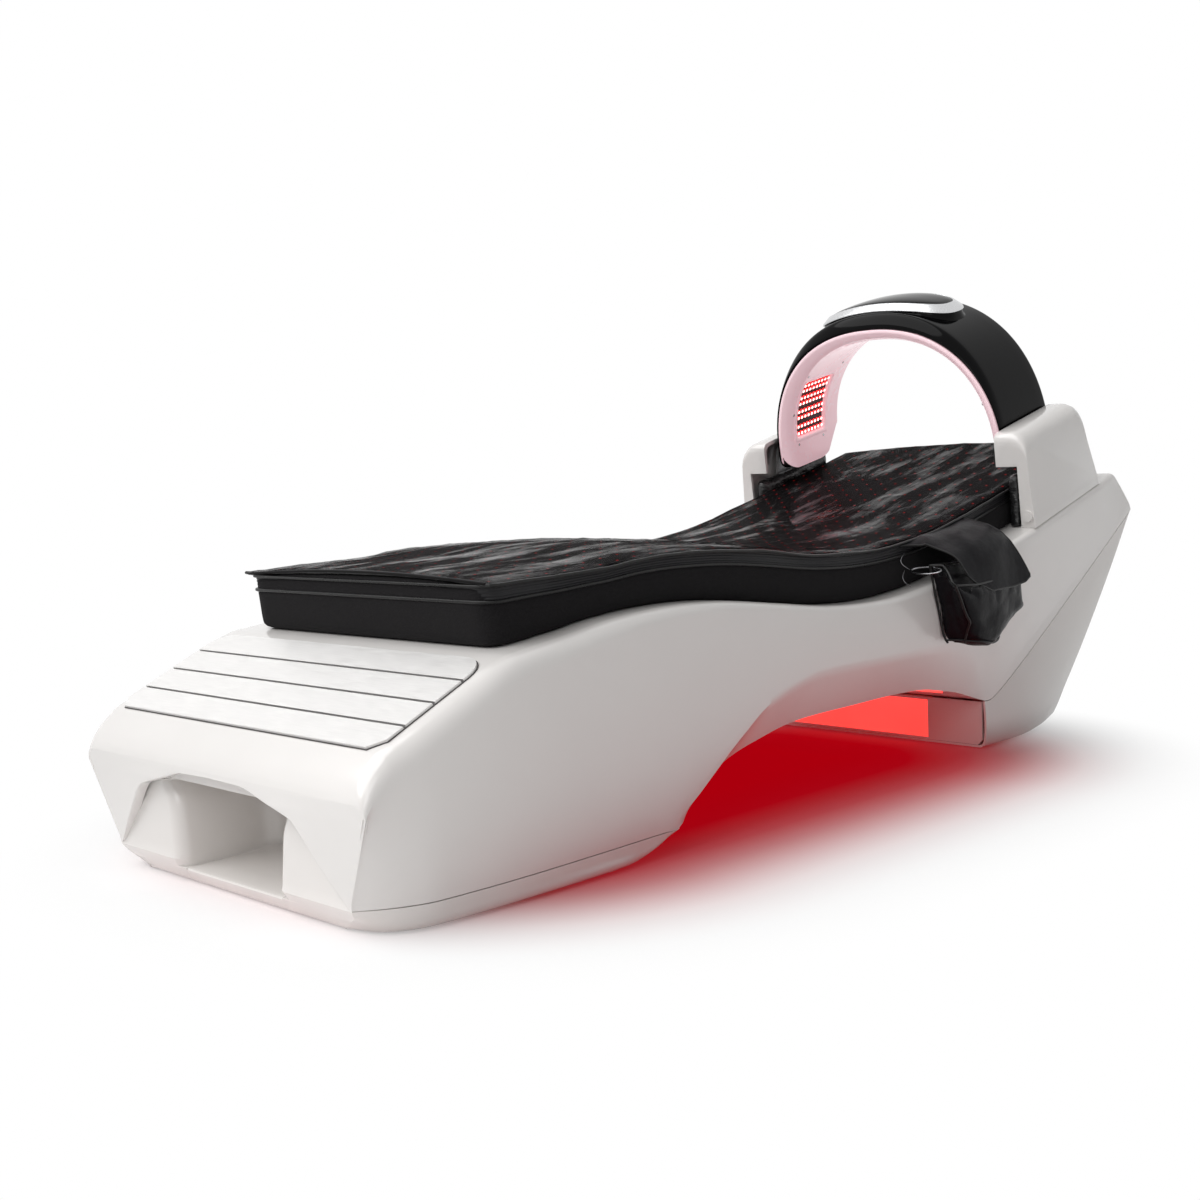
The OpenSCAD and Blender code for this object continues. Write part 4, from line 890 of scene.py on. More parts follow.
def archPoint(angle, v, depth, lift=0):
    # angle runs round the arch in degrees, v to the rear, depth inwards from the front edge;
    # lift is the share of the shell's extra rise there
    half = archLook["half"] - depth
    rise = archLook["rise"] + archLook["flare"] * lift - depth * 0.92
    a = math.radians(min(max(angle, 0), 180))
    w = rise * swollen(math.sin(a))
    if angle < 0:
        w = angle
    if angle > 180:
        w = 180 - angle
    return (half * swollen(math.cos(a)), v, max(w, legEndAt(v)))


archAngles = (steps(archLook["legEnd"], 0, 5)[:-1]
              + [0, 0.12, 0.35, 0.7, 1.1, 1.6, 2.2, 2.9, 3.7, 4.6, 5.7, 7]
              + steps(7, 40, 22)[1:] + steps(40, 75, 20)[1:] + steps(75, 105, 18)[1:])
archAngles = sorted(set(archAngles + [180 - a for a in archAngles if a < 75]))


def archNet(name, path, material, thickness, keep=None, edge=1.0):
    rows = [[archPoint(a, *p) for p in path] for a in archAngles]
    piece = netPiece(name, rows, material, inArch, keep=keep, sharp=40)
    withModifiers(piece, solid(thickness), softEdges(edge, 50, 2))
    shadeSmooth(piece, 40)
    return piece


def archShell():
    d, b, r = archLook["depth"], archLook["band"], archLook["edgeRound"]
    shoulder = archLook["shoulder"]
    rear = rounded([(d, b - 6), (d, 0), (d - 3 * r, 0)], r, 8)
    # The rear wall takes the extra rise up gently, the front shoulder takes it down in a quarter turn
    path = [(v, depth, min(1, (b - 6 - depth) / 16)) for v, depth in rear]
    path += [(v, 0, 1) for v in steps(d - 3 * r, shoulder, 14)[1:-1]]
    for turn in steps(90, 0, 12):
        v = shoulder * turn / 90
        path.append((max(v, 1), 2 * (1 - turn / 90) ** 3, math.sin(math.radians(turn))))
    path.append((2.5, 5, 0))
    return settle(archNet("archShell", path, "archBlack", 2.5), "arch", "arch_black", "arch_shell")


def archLiner():
    d, b = archLook["depth"], archLook["band"]
    v0, v1 = archLook["windowLow"], archLook["windowHigh"]
    rim = rounded([(5, 6.6), (0.5, 6.8), (-1, 14), (9, b - 8), (24, b - 0.5), (v0, b)], 9, 6)
    flat = [(v, b) for v in steps(v0, v1, 18)]
    rear = rounded([(v1, b), (d - 0.5, b), (d - 0.5, b - 5)], 5, 4)
    path = rim[:-1] + flat + rear[1:]
    first = len(rim) - 1

    def keep(i, j):
        middle = (archAngles[i] + archAngles[i + 1]) / 2
        inside = any(low < middle < high for low, high in windows)
        return not (inside and first <= j < first + 18)

    piece = archNet("archLiner", path, "linerPinkPaintedGlow", 2.5, keep)
    parts = [piece] + [windowFrame(*span) for span in windows]
    return settle(joinedPiece("archLiner", parts), "arch", "liner_white", "arch_liner")


def windowFrame(low, high):
    # Bevelled frame with rounded corners round one lamp window
    perDegree = archLook["perDegree"]
    v0, v1 = archLook["windowLow"], archLook["windowHigh"]
    b, board = archLook["band"], archLook["boardDepth"]
    nets = []
    for offset, depth, corner in ((6, b + 0.3, 4), (4, b + 1.6, 5), (0, b + 1.9, 8), (-3, b + 1.0, 11),
                                  (-7, board + 0.4, 14), (-7, board - 3, 14)):
        g = offset / perDegree
        box = [(low - g, v0 - offset), (high + g, v1 + offset)]
        loop = []
        for (ca, cv), start in (((1, 1), 0), ((0, 1), 90), ((0, 0), 180), ((1, 0), 270)):
            for t in steps(start, start + 90, 6):
                a = math.radians(t)
                da = (math.cos(a) - (1 if ca else -1)) * corner / perDegree
                dv = (math.sin(a) - (1 if cv else -1)) * corner
                loop.append((box[ca][0] + da, box[cv][1] + dv))
        full = sampled(loop + loop[:1], 181)[:-1]
        nets.append([archPoint(a, v, depth) for a, v in full])
    return netPiece("windowFrame", nets, "linerPinkPaintedGlow", inArch, loop=True, sharp=50)


podLook = {"middle": 116, "half": 188, "reach": 86, "power": 2.6, "over": 17, "fall": 31, "face": 15,
           "slope": 20, "dome": 8}


def podOutline(turn, inset):
    # The pod's footprint, drawn in by inset: across the bed and from the arch's front
    c, s = math.cos(turn), math.sin(turn)
    k = (abs(c) ** podLook["power"] + abs(s) ** podLook["power"]) ** (-1 / podLook["power"])
    return ((podLook["half"] - inset) * c * k, podLook["middle"] + (podLook["reach"] - inset) * s * k)


def shellTop(x):
    power = archLook["roundness"]
    rise = archLook["rise"] + archLook["flare"]
    return rise * (1 - min(1, abs(x) / archLook["half"]) ** power) ** (1 / power)


def bandTop(x):
    crest = archLook["rise"] + archLook["flare"] + podLook["over"]
    return crest - podLook["fall"] * (x / podLook["half"]) ** 2


podTurns = steps(0, 2 * math.pi, 160)[:-1]


def podRing(inset, height):
    out = []
    for turn in podTurns:
        x, v = podOutline(turn, inset)
        out.append((x, v, height(x)))
    return out


def archPod():
    # The black base below the band, and the low black top inside it
    face, slope = podLook["face"], podLook["slope"]
    base = [podRing(inset, height) for inset, height in (
        (-4, lambda x: shellTop(x) - 2), (1, lambda x: shellTop(x) + 2),
        (3, lambda x: mix(shellTop(x), bandTop(x) - face, 0.7)), (3, lambda x: bandTop(x) - face + 1))]
    rim = [podOutline(turn, slope + 1) for turn in podTurns]
    top = []
    for f in steps(0, 1, 18):
        rise = podLook["dome"] * math.sqrt(1 - (1 - f) ** 2)
        top.append([(x * (1 - f), mix(v, podLook["middle"], f), bandTop(x * (1 - f)) - 0.5 + rise)
                    for x, v in rim])
    parts = [netPiece("podBase", base, "archBlack", inArch, loop=True, sharp=50),
             netPiece("podTop", top, "archBlack", inArch, loop=True, sharp=50)]
    return settle(joinedPiece("archPod", parts), "arch", "arch_black", "arch_pod")


def podBand():
    # A sloping silver face, rolled at both edges and fatter towards the ends of the oval
    face, slope = podLook["face"], podLook["slope"]
    profile = rounded([(4, -0.5), (-0.5, 0), (0.5, 4), (slope - 3, face + 1), (slope + 1.5, face + 1.5),
                       (slope + 1.5, face - 3)], 3.5, 5)
    rows = [podRing(inset, lambda x, up=up: bandTop(x) - face + up) for inset, up in profile]
    piece = netPiece("podBand", rows, "bandSilver", inArch, loop=True, sharp=60)
    return settle(piece, "arch", "band_silver", "pod_band")


# Each lamp is a bead: a red rim and a paler hot top; rows stand in pairs, as angles from the first
lampLook = {"radius": 5, "across": 8, "pairs": 4, "pair": 3.3, "sides": (9.5, 7.8), "top": (78, 7),
            "topPair": 3, "round": 14, "inset": 8, "hotRings": 3,
            "profile": [(1, 0.2), (1, 2), (0.94, 3.6), (0.78, 5.2), (0.5, 6.4), (0.22, 6.9)]}


def lampBeads(name, node, first, step, pair, mirrored=False):
    verts, faces, hot = [], [], []
    inset = archLook["windowLow"] + lampLook["inset"]
    run = (archLook["windowHigh"] - lampLook["inset"] - inset) / lampLook["across"]
    count = lampLook["round"]
    for k in range(lampLook["pairs"]):
        for a in (first + k * step, first + k * step + pair):
            a = 180 - a if mirrored else a
            for i in range(lampLook["across"]):
                v = inset + (i + 0.5) * run
                foot = Vector(archPoint(a, v, archLook["boardDepth"]))
                inwards = (Vector(archPoint(a, v, archLook["boardDepth"] + 6)) - foot).normalized()
                side = inwards.cross(Vector((0, 1, 0))).normalized()
                start = len(verts)
                for wide, up in lampLook["profile"]:
                    for turn in steps(0, 2 * math.pi, count)[:-1]:
                        r = lampLook["radius"] * wide
                        away = side * math.cos(turn) + Vector((0, math.sin(turn), 0))
                        verts.append(inArch(foot + inwards * up + away * r))
                rings = len(lampLook["profile"])
                for face in netFaces(rings, count, True):
                    hot.append(face[0] // count >= rings - lampLook["hotRings"])
                    faces.append(tuple(start + n for n in face))
                hot.append(True)
                faces.append(tuple(start + (rings - 1) * count + n for n in range(count)))
    piece = makePiece(name, verts, faces, "lampRim", 60)
    piece.data.materials.append(finish["lampHot"])
    for face, warm in zip(piece.data.polygons, hot):
        face.material_index = int(warm)
    return settle(piece, "arch", "lamp_red", node)


def makeLamps():
    first, step = lampLook["sides"]
    lampBeads("lampsRight", "lamps_right", first, step, lampLook["pair"])
    lampBeads("lampsLeft", "lamps_left", first, step, lampLook["pair"], True)
    first, step = lampLook["top"]
    lampBeads("lampsTop", "lamps_top", first, step, lampLook["topPair"])


archShell()
archLiner()
archPod()
podBand()
makeLamps()
print("arch made")

# Mattress: knit core, zip tape and piping round its top, mat and clear cover
mattressLook = {
    "half": 350, "thick": 100, "crown": 12, "start": 326, "foot": 340, "end": blockS + 458, "lean": 14,
    "footCorner": 34, "headCorner": 22, "skin": 6.8, "matThick": 5, "voxel": 0.011, "cap": 0.007,
}
thicknessShare = [
    (320, 1.1), (424, 1.01), (563, 0.86), (660, 0.89), (815, 0.94), (984, 1.02), (1300, 1.03),
    (1587, 1), (blockS, 0.95), (blockS + 458, 0.84),
]


def topAt(s):
    # The mattress's top without its crown; it stays level past the foot edge
    q = max(s, mattressLook["start"])
    thick = mattressLook["thick"] * smoothAt(thicknessShare, q)
    return deckSoftAt(max(q, mattressLook["foot"])) + thick - mattressLook["skin"]


def crownAt(x):
    return mattressLook["crown"] * (1 - min(1, abs(x) / mattressLook["half"]) ** 2)


def leanAt(s):
    t = min(1, max(0, (s - mattressLook["start"]) / 130))
    return mattressLook["lean"] * (1 - t * t * (3 - 2 * t))


def onMattress(x, s, k, lift=0):
    # k runs from the deck, 0, to the mattress's top edge, 1
    low = deckAt(s) + 0.8
    return (x, s - leanAt(s) * k, mix(low, topAt(s - leanAt(s) * k), k) + lift)


def halfWidthAt(s, inset=0):
    first, last = mattressLook["start"] + inset, mattressLook["end"] - inset
    out = mattressLook["half"] - inset
    for past, r in ((first + mattressLook["footCorner"] - s, mattressLook["footCorner"]),
                    (s - last + mattressLook["headCorner"], mattressLook["headCorner"])):
        if past > 0:
            out -= r - math.sqrt(max(0, r * r - min(past, r) ** 2))
    return out


def endedStations(first, last, nearFoot, nearHead, pitch):
    out = [first + nearFoot * (1 - math.cos(a)) for a in steps(0, math.pi / 2, 7)[:-1]]
    out += steps(first + nearFoot, last - nearHead, round((last - first) / pitch))
    out += [last - nearHead * (1 - math.sin(a)) for a in steps(0, math.pi / 2, 7)[1:]]
    return out


sideShape = [(0, 7), (0.06, 2.5), (0.2, 0.5), (0.5, 1.5), (0.7, 1.5), (0.76, 3), (0.79, 5), (0.97, 6), (1, 9)]


def mattressCore():
    rows = []
    for s in endedStations(mattressLook["start"], mattressLook["end"], mattressLook["footCorner"],
                           mattressLook["headCorner"], 18):
        w = halfWidthAt(s)
        sides = [onMattress(w - inset, s, k) for k, inset in sideShape]
        top = []
        for t in steps(1, -1, 16)[1:-1]:
            x = t * (w - 9)
            top.append(onMattress(x, s, 1, crownAt(x) * min(1, w / mattressLook["half"]) - 0.6))
        bottom = [onMattress(t * (w - 7), s, 0) for t in steps(-1, 1, 8)[1:-1]]
        rows.append(sides + top + [(-x, a, z) for x, a, z in reversed(sides)] + bottom)
    return netPiece("mattressCore", rows, "knitBlack", loop=True, caps=True, sharp=60)


def puffed(piece, voxel, cap, pressure=4.0, hold=None, frames=20):
    # Cloth under slight pressure, with its movement capped, applied to the mesh
    withModifiers(piece, ("REMESH", {"mode": "VOXEL", "voxel_size": voxel, "use_smooth_shade": True}))
    rest = [v.co.copy() for v in piece.data.vertices]
    if hold:
        group = piece.vertex_groups.new(name="hold")
        group.add([i for i, co in enumerate(rest) if hold(co)], 1.0, "REPLACE")
    cloth = piece.modifiers.new("cloth", "CLOTH")
    cloth.settings.use_pressure = True
    cloth.settings.uniform_pressure_force = pressure
    cloth.settings.effector_weights.gravity = 0
    cloth.settings.quality = 5
    if hold:
        cloth.settings.vertex_group_mass = "hold"
    scene = bpy.context.scene
    cloth.point_cache.frame_start = 1
    cloth.point_cache.frame_end = frames
    for f in range(1, frames + 1):
        scene.frame_set(f)
    graph = bpy.context.evaluated_depsgraph_get()
    moved = bpy.data.meshes.new_from_object(piece.evaluated_get(graph))
    for vert, start in zip(moved.vertices, rest):
        step = vert.co - start
        if step.length > cap:
            vert.co = start + step * (cap / step.length)
    piece.modifiers.clear()
    piece.data = moved
    scene.frame_set(1)
    withModifiers(piece, ("SMOOTH", {"factor": 0.5, "iterations": 2}), ("SUBSURF", {"levels": 1}))
    shadeSmooth(piece, 80)
    return piece


def heldByDeckAndMat(co):
    s = co.y * 1000 + bed["length"] / 2
    z = co.z * 1000
    return z < deckAt(s) + 9 or z > topAt(s) - 26


def makeMattress():
    core = mattressCore()
    puffed(core, mattressLook["voxel"], mattressLook["cap"], 3.0, heldByDeckAndMat)
    core.name = "mattressPad"
    settle(core, "bed", "mattress_fabric", "mattress")
    parts = [zipTape()] + [rimPiping(*line) for line in tapeLook["piping"]]
    settle(joinedPiece("mattressTape", parts), "bed", "mattress_fabric")


# Levels are shares of the mattress's height; each piping has its level, inset and radius
tapeLook = {"low": 0.745, "high": 0.975, "ribs": 4, "inset": 4.2,
            "piping": [(0.735, 0.5, 3.2), (0.985, 0.5, 2.6)]}


def rimPath(inset, pitch=14):
    # Round the mattress's outline once: half width, station
    stations = endedStations(mattressLook["start"], mattressLook["end"], mattressLook["footCorner"],
                             mattressLook["headCorner"], pitch)
    right = [(halfWidthAt(s), s) for s in stations]
    rounds = [(x, s) for x, s in right] + [(-x, s) for x, s in reversed(right)]
    out = []
    for (x, s), before, after in zip(rounds, rounds[-1:] + rounds[:-1], rounds[1:] + rounds[:1]):
        along = Vector((after[0] - before[0], after[1] - before[1])).normalized()
        away = Vector((along.y, -along.x))
        if away.x * x < 0 and abs(x) > 100:
            away = -away
        out.append((x - away.x * inset, s - away.y * inset))
    return out


def zipTape():
    # Ribbed tape between the two pipings
    ribs = tapeLook["ribs"]
    rows = []
    for t in steps(0, 1, ribs * 6):
        swell = abs(math.sin(math.pi * ribs * t)) ** 0.7
        level = mix(tapeLook["low"], tapeLook["high"], t)
        rows.append([onMattress(x, s, level) for x, s in rimPath(tapeLook["inset"] - swell)])
    return netPiece("zipTape", rows, "zipTape", loop=True, sharp=70)


def tube(name, points, radius, material, closed=False, sides=8):
    # A round cord through points of the row frame, in metres
    rows = []
    count = len(points)
    for i, p in enumerate(points):
        before = points[i - 1] if i or closed else p
        after = points[(i + 1) % count] if i < count - 1 or closed else p
        along = (after - before).normalized()
        side = along.cross(Vector((0, 0, 1)))
        if side.length < 0.05:
            side = along.cross(Vector((0, 1, 0)))
        side.normalize()
        up = side.cross(along)
        r = radius(i / (count - 1)) if callable(radius) else radius
        rows.append([p + (side * math.cos(a) + up * math.sin(a)) * r * 0.001
                     for a in steps(0, 2 * math.pi, sides)[:-1]])
    if closed:
        rows.append(rows[0])
    return netPiece(name, rows, material, place=lambda p: p, loop=True, caps=not closed, sharp=60)


def rimPiping(k, inset, radius):
    points = [alongBed(onMattress(x, s, k)) for x, s in rimPath(inset, 10)]
    return tube("piping", points, radius, "hemBlack", closed=True)


filmLook = {"start": 316, "end": blockS + 463, "half": 354, "rows": 300, "cols": 84,
            "seams": (1545, 1655), "seamDeep": 1.2, "seamWide": 3.5, "droop": 5.5, "wave": 1.8, "tip": 4,
            "hem": 3.0, "sheet": 0.0006}


def rippled(x, s, across, along, layer):
    return noise.noise(Vector((x * across, s * along, layer)))


def folds(x, s):
    # Height of the film's folds: long pleats at the foot, finer crumples at the head
    pleat = rippled(x, s, 0.026, 0.0035, 1.7)
    finePleat = rippled(x, s, 0.06, 0.006, 6.1)
    broad = rippled(x, s, 0.006, 0.006, 9.3)
    crumpled = rippled(x, s, 0.02, 0.022, 3.9)
    crease = 1 - abs(noise.noise(Vector((x * 0.011 + s * 0.004, s * 0.012, 12.4)))) * 2.2
    foot = min(1, max(0, (1250 - s) / 700))
    out = 1.4 + 1.5 * pleat * (0.4 + 0.6 * foot) + 0.6 * finePleat * foot
    out += 1.9 * broad + 1.1 * crumpled * (1.1 - 0.6 * foot) + 1.6 * max(0, crease) ** 5
    return max(0.35, out + 0.4)


def filmPoint(x, s):
    edge = filmLook["half"] - abs(x)
    end = min(s - filmLook["start"], filmLook["end"] - s)
    near = min(edge, end)
    droop = filmLook["droop"] * (1 - min(1, near / 16)) ** 2
    wave = filmLook["wave"] * rippled(x, s, 0.004, 0.013, 21.0) * (1 - min(1, near / 40))
    # The far corner at the foot is turned up a little
    far = x < 0 and s < 800
    tip = filmLook["tip"] * max(0, 1 - end / 26) * max(0, 1 - edge / 26) if far else 0
    base = topAt(s) + crownAt(x) + mattressLook["matThick"] + 0.6
    seam = sum(filmLook["seamDeep"] * math.exp(-((s - q) / filmLook["seamWide"]) ** 2)
               for q in filmLook["seams"])
    quiet = min(1, near / 22)
    return (x, s - tip * 0.6, base + folds(x, s) * (0.35 + 0.65 * quiet) - droop + wave + tip - seam)


def clearCover():
    rows = []
    for s in steps(filmLook["start"], filmLook["end"], filmLook["rows"]):
        rows.append([filmPoint(x, s) for x in steps(-filmLook["half"], filmLook["half"], filmLook["cols"])])
    piece = netPiece("clearCover", rows, "clearFilm", sharp=80)
    withModifiers(piece, ("SOLIDIFY", {"thickness": filmLook["sheet"], "offset": 1}))
    shadeSmooth(piece, 80)
    settle(piece, "bed", "cover_clear", "clear_cover")
    half, first, last = filmLook["half"], filmLook["start"], filmLook["end"]
    rim = [filmPoint(x, first) for x in steps(-half, half, 60)]
    rim += [filmPoint(half, s) for s in steps(first, last, 200)[1:]]
    rim += [filmPoint(x, last) for x in steps(half, -half, 60)[1:]]
    rim += [filmPoint(-half, s) for s in steps(last, first, 200)[1:-1]]
    hem = tube("coverHem", [alongBed(p) for p in rim], filmLook["hem"], "hemBlack", closed=True)
    settle(hem, "bed", "cover_clear")


def lightMat():
    half = mattressLook["half"] - 4
    rows = []
    for s in steps(312, mattressLook["end"], 150):
        under = [(x, s, topAt(s) + crownAt(x) + 0.3) for x in steps(-half, half, 30)]
        rows.append(under + [(x, s, z + mattressLook["matThick"] - 0.4) for x, s, z in reversed(under)])
    piece = netPiece("lightMat", rows, "matBlack", loop=True, caps=True, sharp=60)
    withModifiers(piece, softEdges(1.5, 50, 2))
    shadeSmooth(piece, 50)
    settle(piece, "bed", "mat_black", "light_mat")


makeMattress()
lightMat()
clearCover()
print("mattress made")

# Leather pads between the mattress and the housings
padLook = {"inner": 353, "outer": 382, "start": houseStart - 8, "end": houseEnd - 30, "voxel": 0.006,
           "cap": 0.005, "edge": [(1.5, 12), (1.5, 5), (4, 1.5), (9, 0)], "crumple": 0.0022, "folds": 38}


def sidePad(side, name, node):
    s0, s1 = padLook["start"], padLook["end"]
    outline = [
        (s0 + 4, deckAt(s0) + 3), (s1 - 4, deckAt(s1) + 2), (s1, deckAt(s1) + 104),
        (s1 - 8, deckAt(s1) + 108), (s0 + 8, deckAt(s0) + 124), (s0, deckAt(s0) + 116),
    ]
    loop = sampled(rounded(outline + [outline[0]], 8, 4)[:-1] + [outline[0]], 90)[:-1]
    middle = Vector((sum(p[0] for p in loop), sum(p[1] for p in loop))) / len(loop)
    levels = [(padLook["inner"] + x, pull) for x, pull in padLook["edge"]]
    levels += [(padLook["outer"] - x, pull) for x, pull in reversed(padLook["edge"])]
    rows = []
    for x, pull in levels:
        rows.append([(side * x, s + (middle.x - s) * pull / 120, z + (middle.y - z) * pull / 60)
                     for s, z in loop])
    piece = netPiece(name, rows, "padLeather", loop=True, caps=True, sharp=60)
    puffed(piece, padLook["voxel"], padLook["cap"], 2.5, None, 16)
    crumple(piece, padLook["crumple"], padLook["folds"])
    settle(piece, "bed", "pad_leather", node)


def crumple(piece, height, scale):
    # Pushes the surface in and out by noise, along its normals
    normals = [v.normal.copy() for v in piece.data.vertices]
    for vert, normal in zip(piece.data.vertices, normals):
        ridge = 1 - 2 * abs(noise.noise(vert.co * scale))
        swell = noise.noise(vert.co * scale * 0.6 + Vector((4, 1, 7)))
        vert.co += normal * height * (0.6 * swell - 0.4 * ridge)
    piece.data.update()


sidePad(1, "sidePadRight", "side_pad_right")
sidePad(-1, "sidePadLeft", "side_pad_left")
print("side pads made")

# Pouch hung over the edge at the head end: bag, flap, wire bail and loops
pouchLook = {
    "low": 262, "high": 440, "inner": 404, "outer": 474, "pleat": 16, "voxel": 0.005, "cap": 0.006,
    "crumple": 0.0035, "folds": 22, "holdAbove": 0.425, "seam": 2.6, "bottomSeam": 2.0, "mouthSeam": 2.4,
    "headLine": [(0, 1648), (0.1, 1672), (0.28, 1722), (0.37, 1750), (0.48, 1741), (0.7, 1738), (1, 1742)],
    "sag": [(1500, 13), (1546, 9), (1600, -1), (1655, 8), (1700, 24), (1755, 40)],
}


def bagLevel(h):
    # One level of the bag, h from its bottom, 0, to its mouth, 1
    z = mix(pouchLook["low"], pouchLook["high"], h)
    innerFoot, outerFoot = mix(1520, 1467, h), mix(1549, 1451, h)
    head = smoothAt(pouchLook["headLine"], h)
    tuck = 12 * max(0, 1 - h / 0.14) ** 2
    x0, x1 = pouchLook["inner"] + tuck * 0.5, pouchLook["outer"] - tuck
    dip = 9 * math.sin(math.pi * min(1, h * 1.2)) * (1 - h)
    pleat = mix(innerFoot, outerFoot, 0.5) + pouchLook["pleat"] * (0.3 + 0.7 * h)
    corners = [
        (x0, innerFoot), (mix(x0, x1, 0.5), pleat),
        (x1 - 2, outerFoot + tuck), (x1 + 3 - dip, mix(outerFoot, head, 0.25)),
        (x1, mix(outerFoot, head, 0.5)), (x1 - 4 - dip, mix(outerFoot, head, 0.75)),
        (x1 - 12 - tuck, head), (x0, head - 6), (x0, innerFoot),
    ]
    loop = sampled(rounded(corners, 9, 4), 73)[:-1]
    out = []
    for x, s in loop:
        low = smoothAt(pouchLook["sag"], s) * (1 - h) ** 2
        ripple = 7 * noise.noise(Vector((x * 0.02, s * 0.018, h * 2.4))) * (1 - h * 0.6)
        # Towards the outside the mouth stays below the flap that covers it
        covered = 0.95 * max(0, x - 432) * h
        out.append((x + 0.4 * ripple, s, z + low + 0.5 * ripple - covered))
    return out


def pouchBag():
    rows = [bagLevel(h) for h in steps(0, 1, 26)]
    low = [(mix(x, 444, 0.35), mix(s, 1600, 0.12), z - 4) for x, s, z in rows[0]]
    mouth = [(mix(x, 444, 0.3), mix(s, 1600, 0.1), z - 26) for x, s, z in rows[-1]]
    piece = netPiece("pouchBag", [low] + rows + [mouth], "pouchSatin", loop=True, caps=True, sharp=60)
    puffed(piece, pouchLook["voxel"], pouchLook["cap"], 2.0,
           lambda co: co.z > pouchLook["holdAbove"], 14)
    crumple(piece, pouchLook["crumple"], pouchLook["folds"])
    edges = [tube("seam", [alongBed(row[j]) for row in rows], pouchLook["seam"], "hemBlack")
             for j in seamColumns(rows[10])]
    for row, size in ((rows[1], pouchLook["bottomSeam"]), (rows[-1], pouchLook["mouthSeam"])):
        edges.append(tube("seam", [alongBed(p) for p in row], size, "hemBlack", closed=True))
    settle(joinedPiece("pouchSeams", edges), "bed", "pouch_satin")
    settle(piece, "bed", "pouch_satin", "pouch_bag")


def seamColumns(level):
    # The two edges of the narrow side that faces the foot end
    first = min(range(len(level)), key=lambda j: level[j][1] + level[j][0] * 0.6)
    outer = max(range(len(level) // 3), key=lambda j: level[j][0] - level[j][1] * 0.6)
    return first, outer


# The flap's two borders, each from the mattress to the free edge: across, station, height
flapLook = {
    "foot": [(351, 1441, 484), (372, 1474, 480), (395, 1494, 474), (440, 1507, 454), (466, 1516, 414),
             (477, 1568, 377)],
    "head": [(351, 1671, 525), (376, 1686, 518), (402, 1697, 508), (440, 1698, 488), (462, 1700, 464),
             (479, 1734, 386)],
    "rows": 44, "cols": 44, "thick": 2.4, "hem": 2.2, "belly": (5, 9), "wave": (3.5, 5), "crease": 4,
    "corner": 9.6,
}


def borderAt(points, u):
    return tuple(smoothAt([(i, p[k]) for i, p in enumerate(points)], u * (len(points) - 1)) for k in range(3))


def flapPoint(t, u):
    # t runs from the foot side to the head side, u from the mattress to the free edge
    x, s, z = mixed(borderAt(flapLook["foot"], u), borderAt(flapLook["head"], u), t)
    belly = math.sin(math.pi * t) * math.sin(math.pi * u)
    wave = noise.noise(Vector((s * 0.016, u * 2.2, 5.5)))
    crease = max(0, 1 - 2.4 * abs(noise.noise(Vector((s * 0.009 + u * 1.4, u * 0.8, 8.2))))) ** 3
    corner = max(0, u - 0.8) / 0.2 * max(0, abs(t - 0.5) - 0.38) / 0.12
    out = flapLook["belly"][0] * belly + flapLook["wave"][0] * wave * u
    up = flapLook["belly"][1] * belly + flapLook["wave"][1] * wave
    up += flapLook["crease"] * crease * math.sin(math.pi * u) + flapLook["corner"] * corner
    return (x + out, s, z + up)


def pouchFlap():
    rows = [[flapPoint(t, u) for u in steps(0, 1, flapLook["cols"])]
            for t in steps(0, 1, flapLook["rows"])]
    piece = netPiece("pouchFlap", rows, "pouchSatin", sharp=80)
    withModifiers(piece, ("SMOOTH", {"factor": 0.5, "iterations": 3}))
    withModifiers(piece, ("SOLIDIFY", {"thickness": flapLook["thick"] * 0.001, "offset": 0}))
    shadeSmooth(piece, 70)
    settle(piece, "bed", "pouch_satin", "pouch_flap")
    border = rows[0] + [row[-1] for row in rows[1:]] + rows[-1][-2::-1]
    hem = tube("flapHem", [alongBed(p) for p in sampled(border, 150)], flapLook["hem"], "hemBlack")
    settle(hem, "bed", "pouch_satin")


# The bail's middle, its reach along each axis and, for each loop beside it, its lift and its bend
ringLook = {"middle": (398, 1462, 430), "reach": (0.036, 0.012, 0.006), "wire": 1.6, "loopWire": 0.9,
            "loops": [(14, 22), (-22, 16)], "loopFrom": (352, 1452, 452), "loopTo": (366, 1452, 418)}


def pouchRing():
    middle = alongBed(ringLook["middle"])
    wide, long, high = ringLook["reach"]
    ring = [middle + Vector((wide * math.cos(a), long * math.sin(a), high * math.sin(a)))
            for a in steps(0, 2 * math.pi, 40)[:-1]]
    parts = [tube("ring", ring, ringLook["wire"], "wire", closed=True)]
    for lift, bend in ringLook["loops"]:
        loop = []
        for t in steps(0, 1, 24):
            x, s, z = mixed(ringLook["loopFrom"], ringLook["loopTo"], t)
            loop.append(alongBed((x, s - bend * math.sin(math.pi * t), z + lift)))
        parts.append(tube("loop", loop, ringLook["loopWire"], "wire"))
    settle(joinedPiece("pouchRing", parts), "bed", "ring_wire", "pouch_ring")


pouchBag()
pouchFlap()
pouchRing()
print("pouch made")

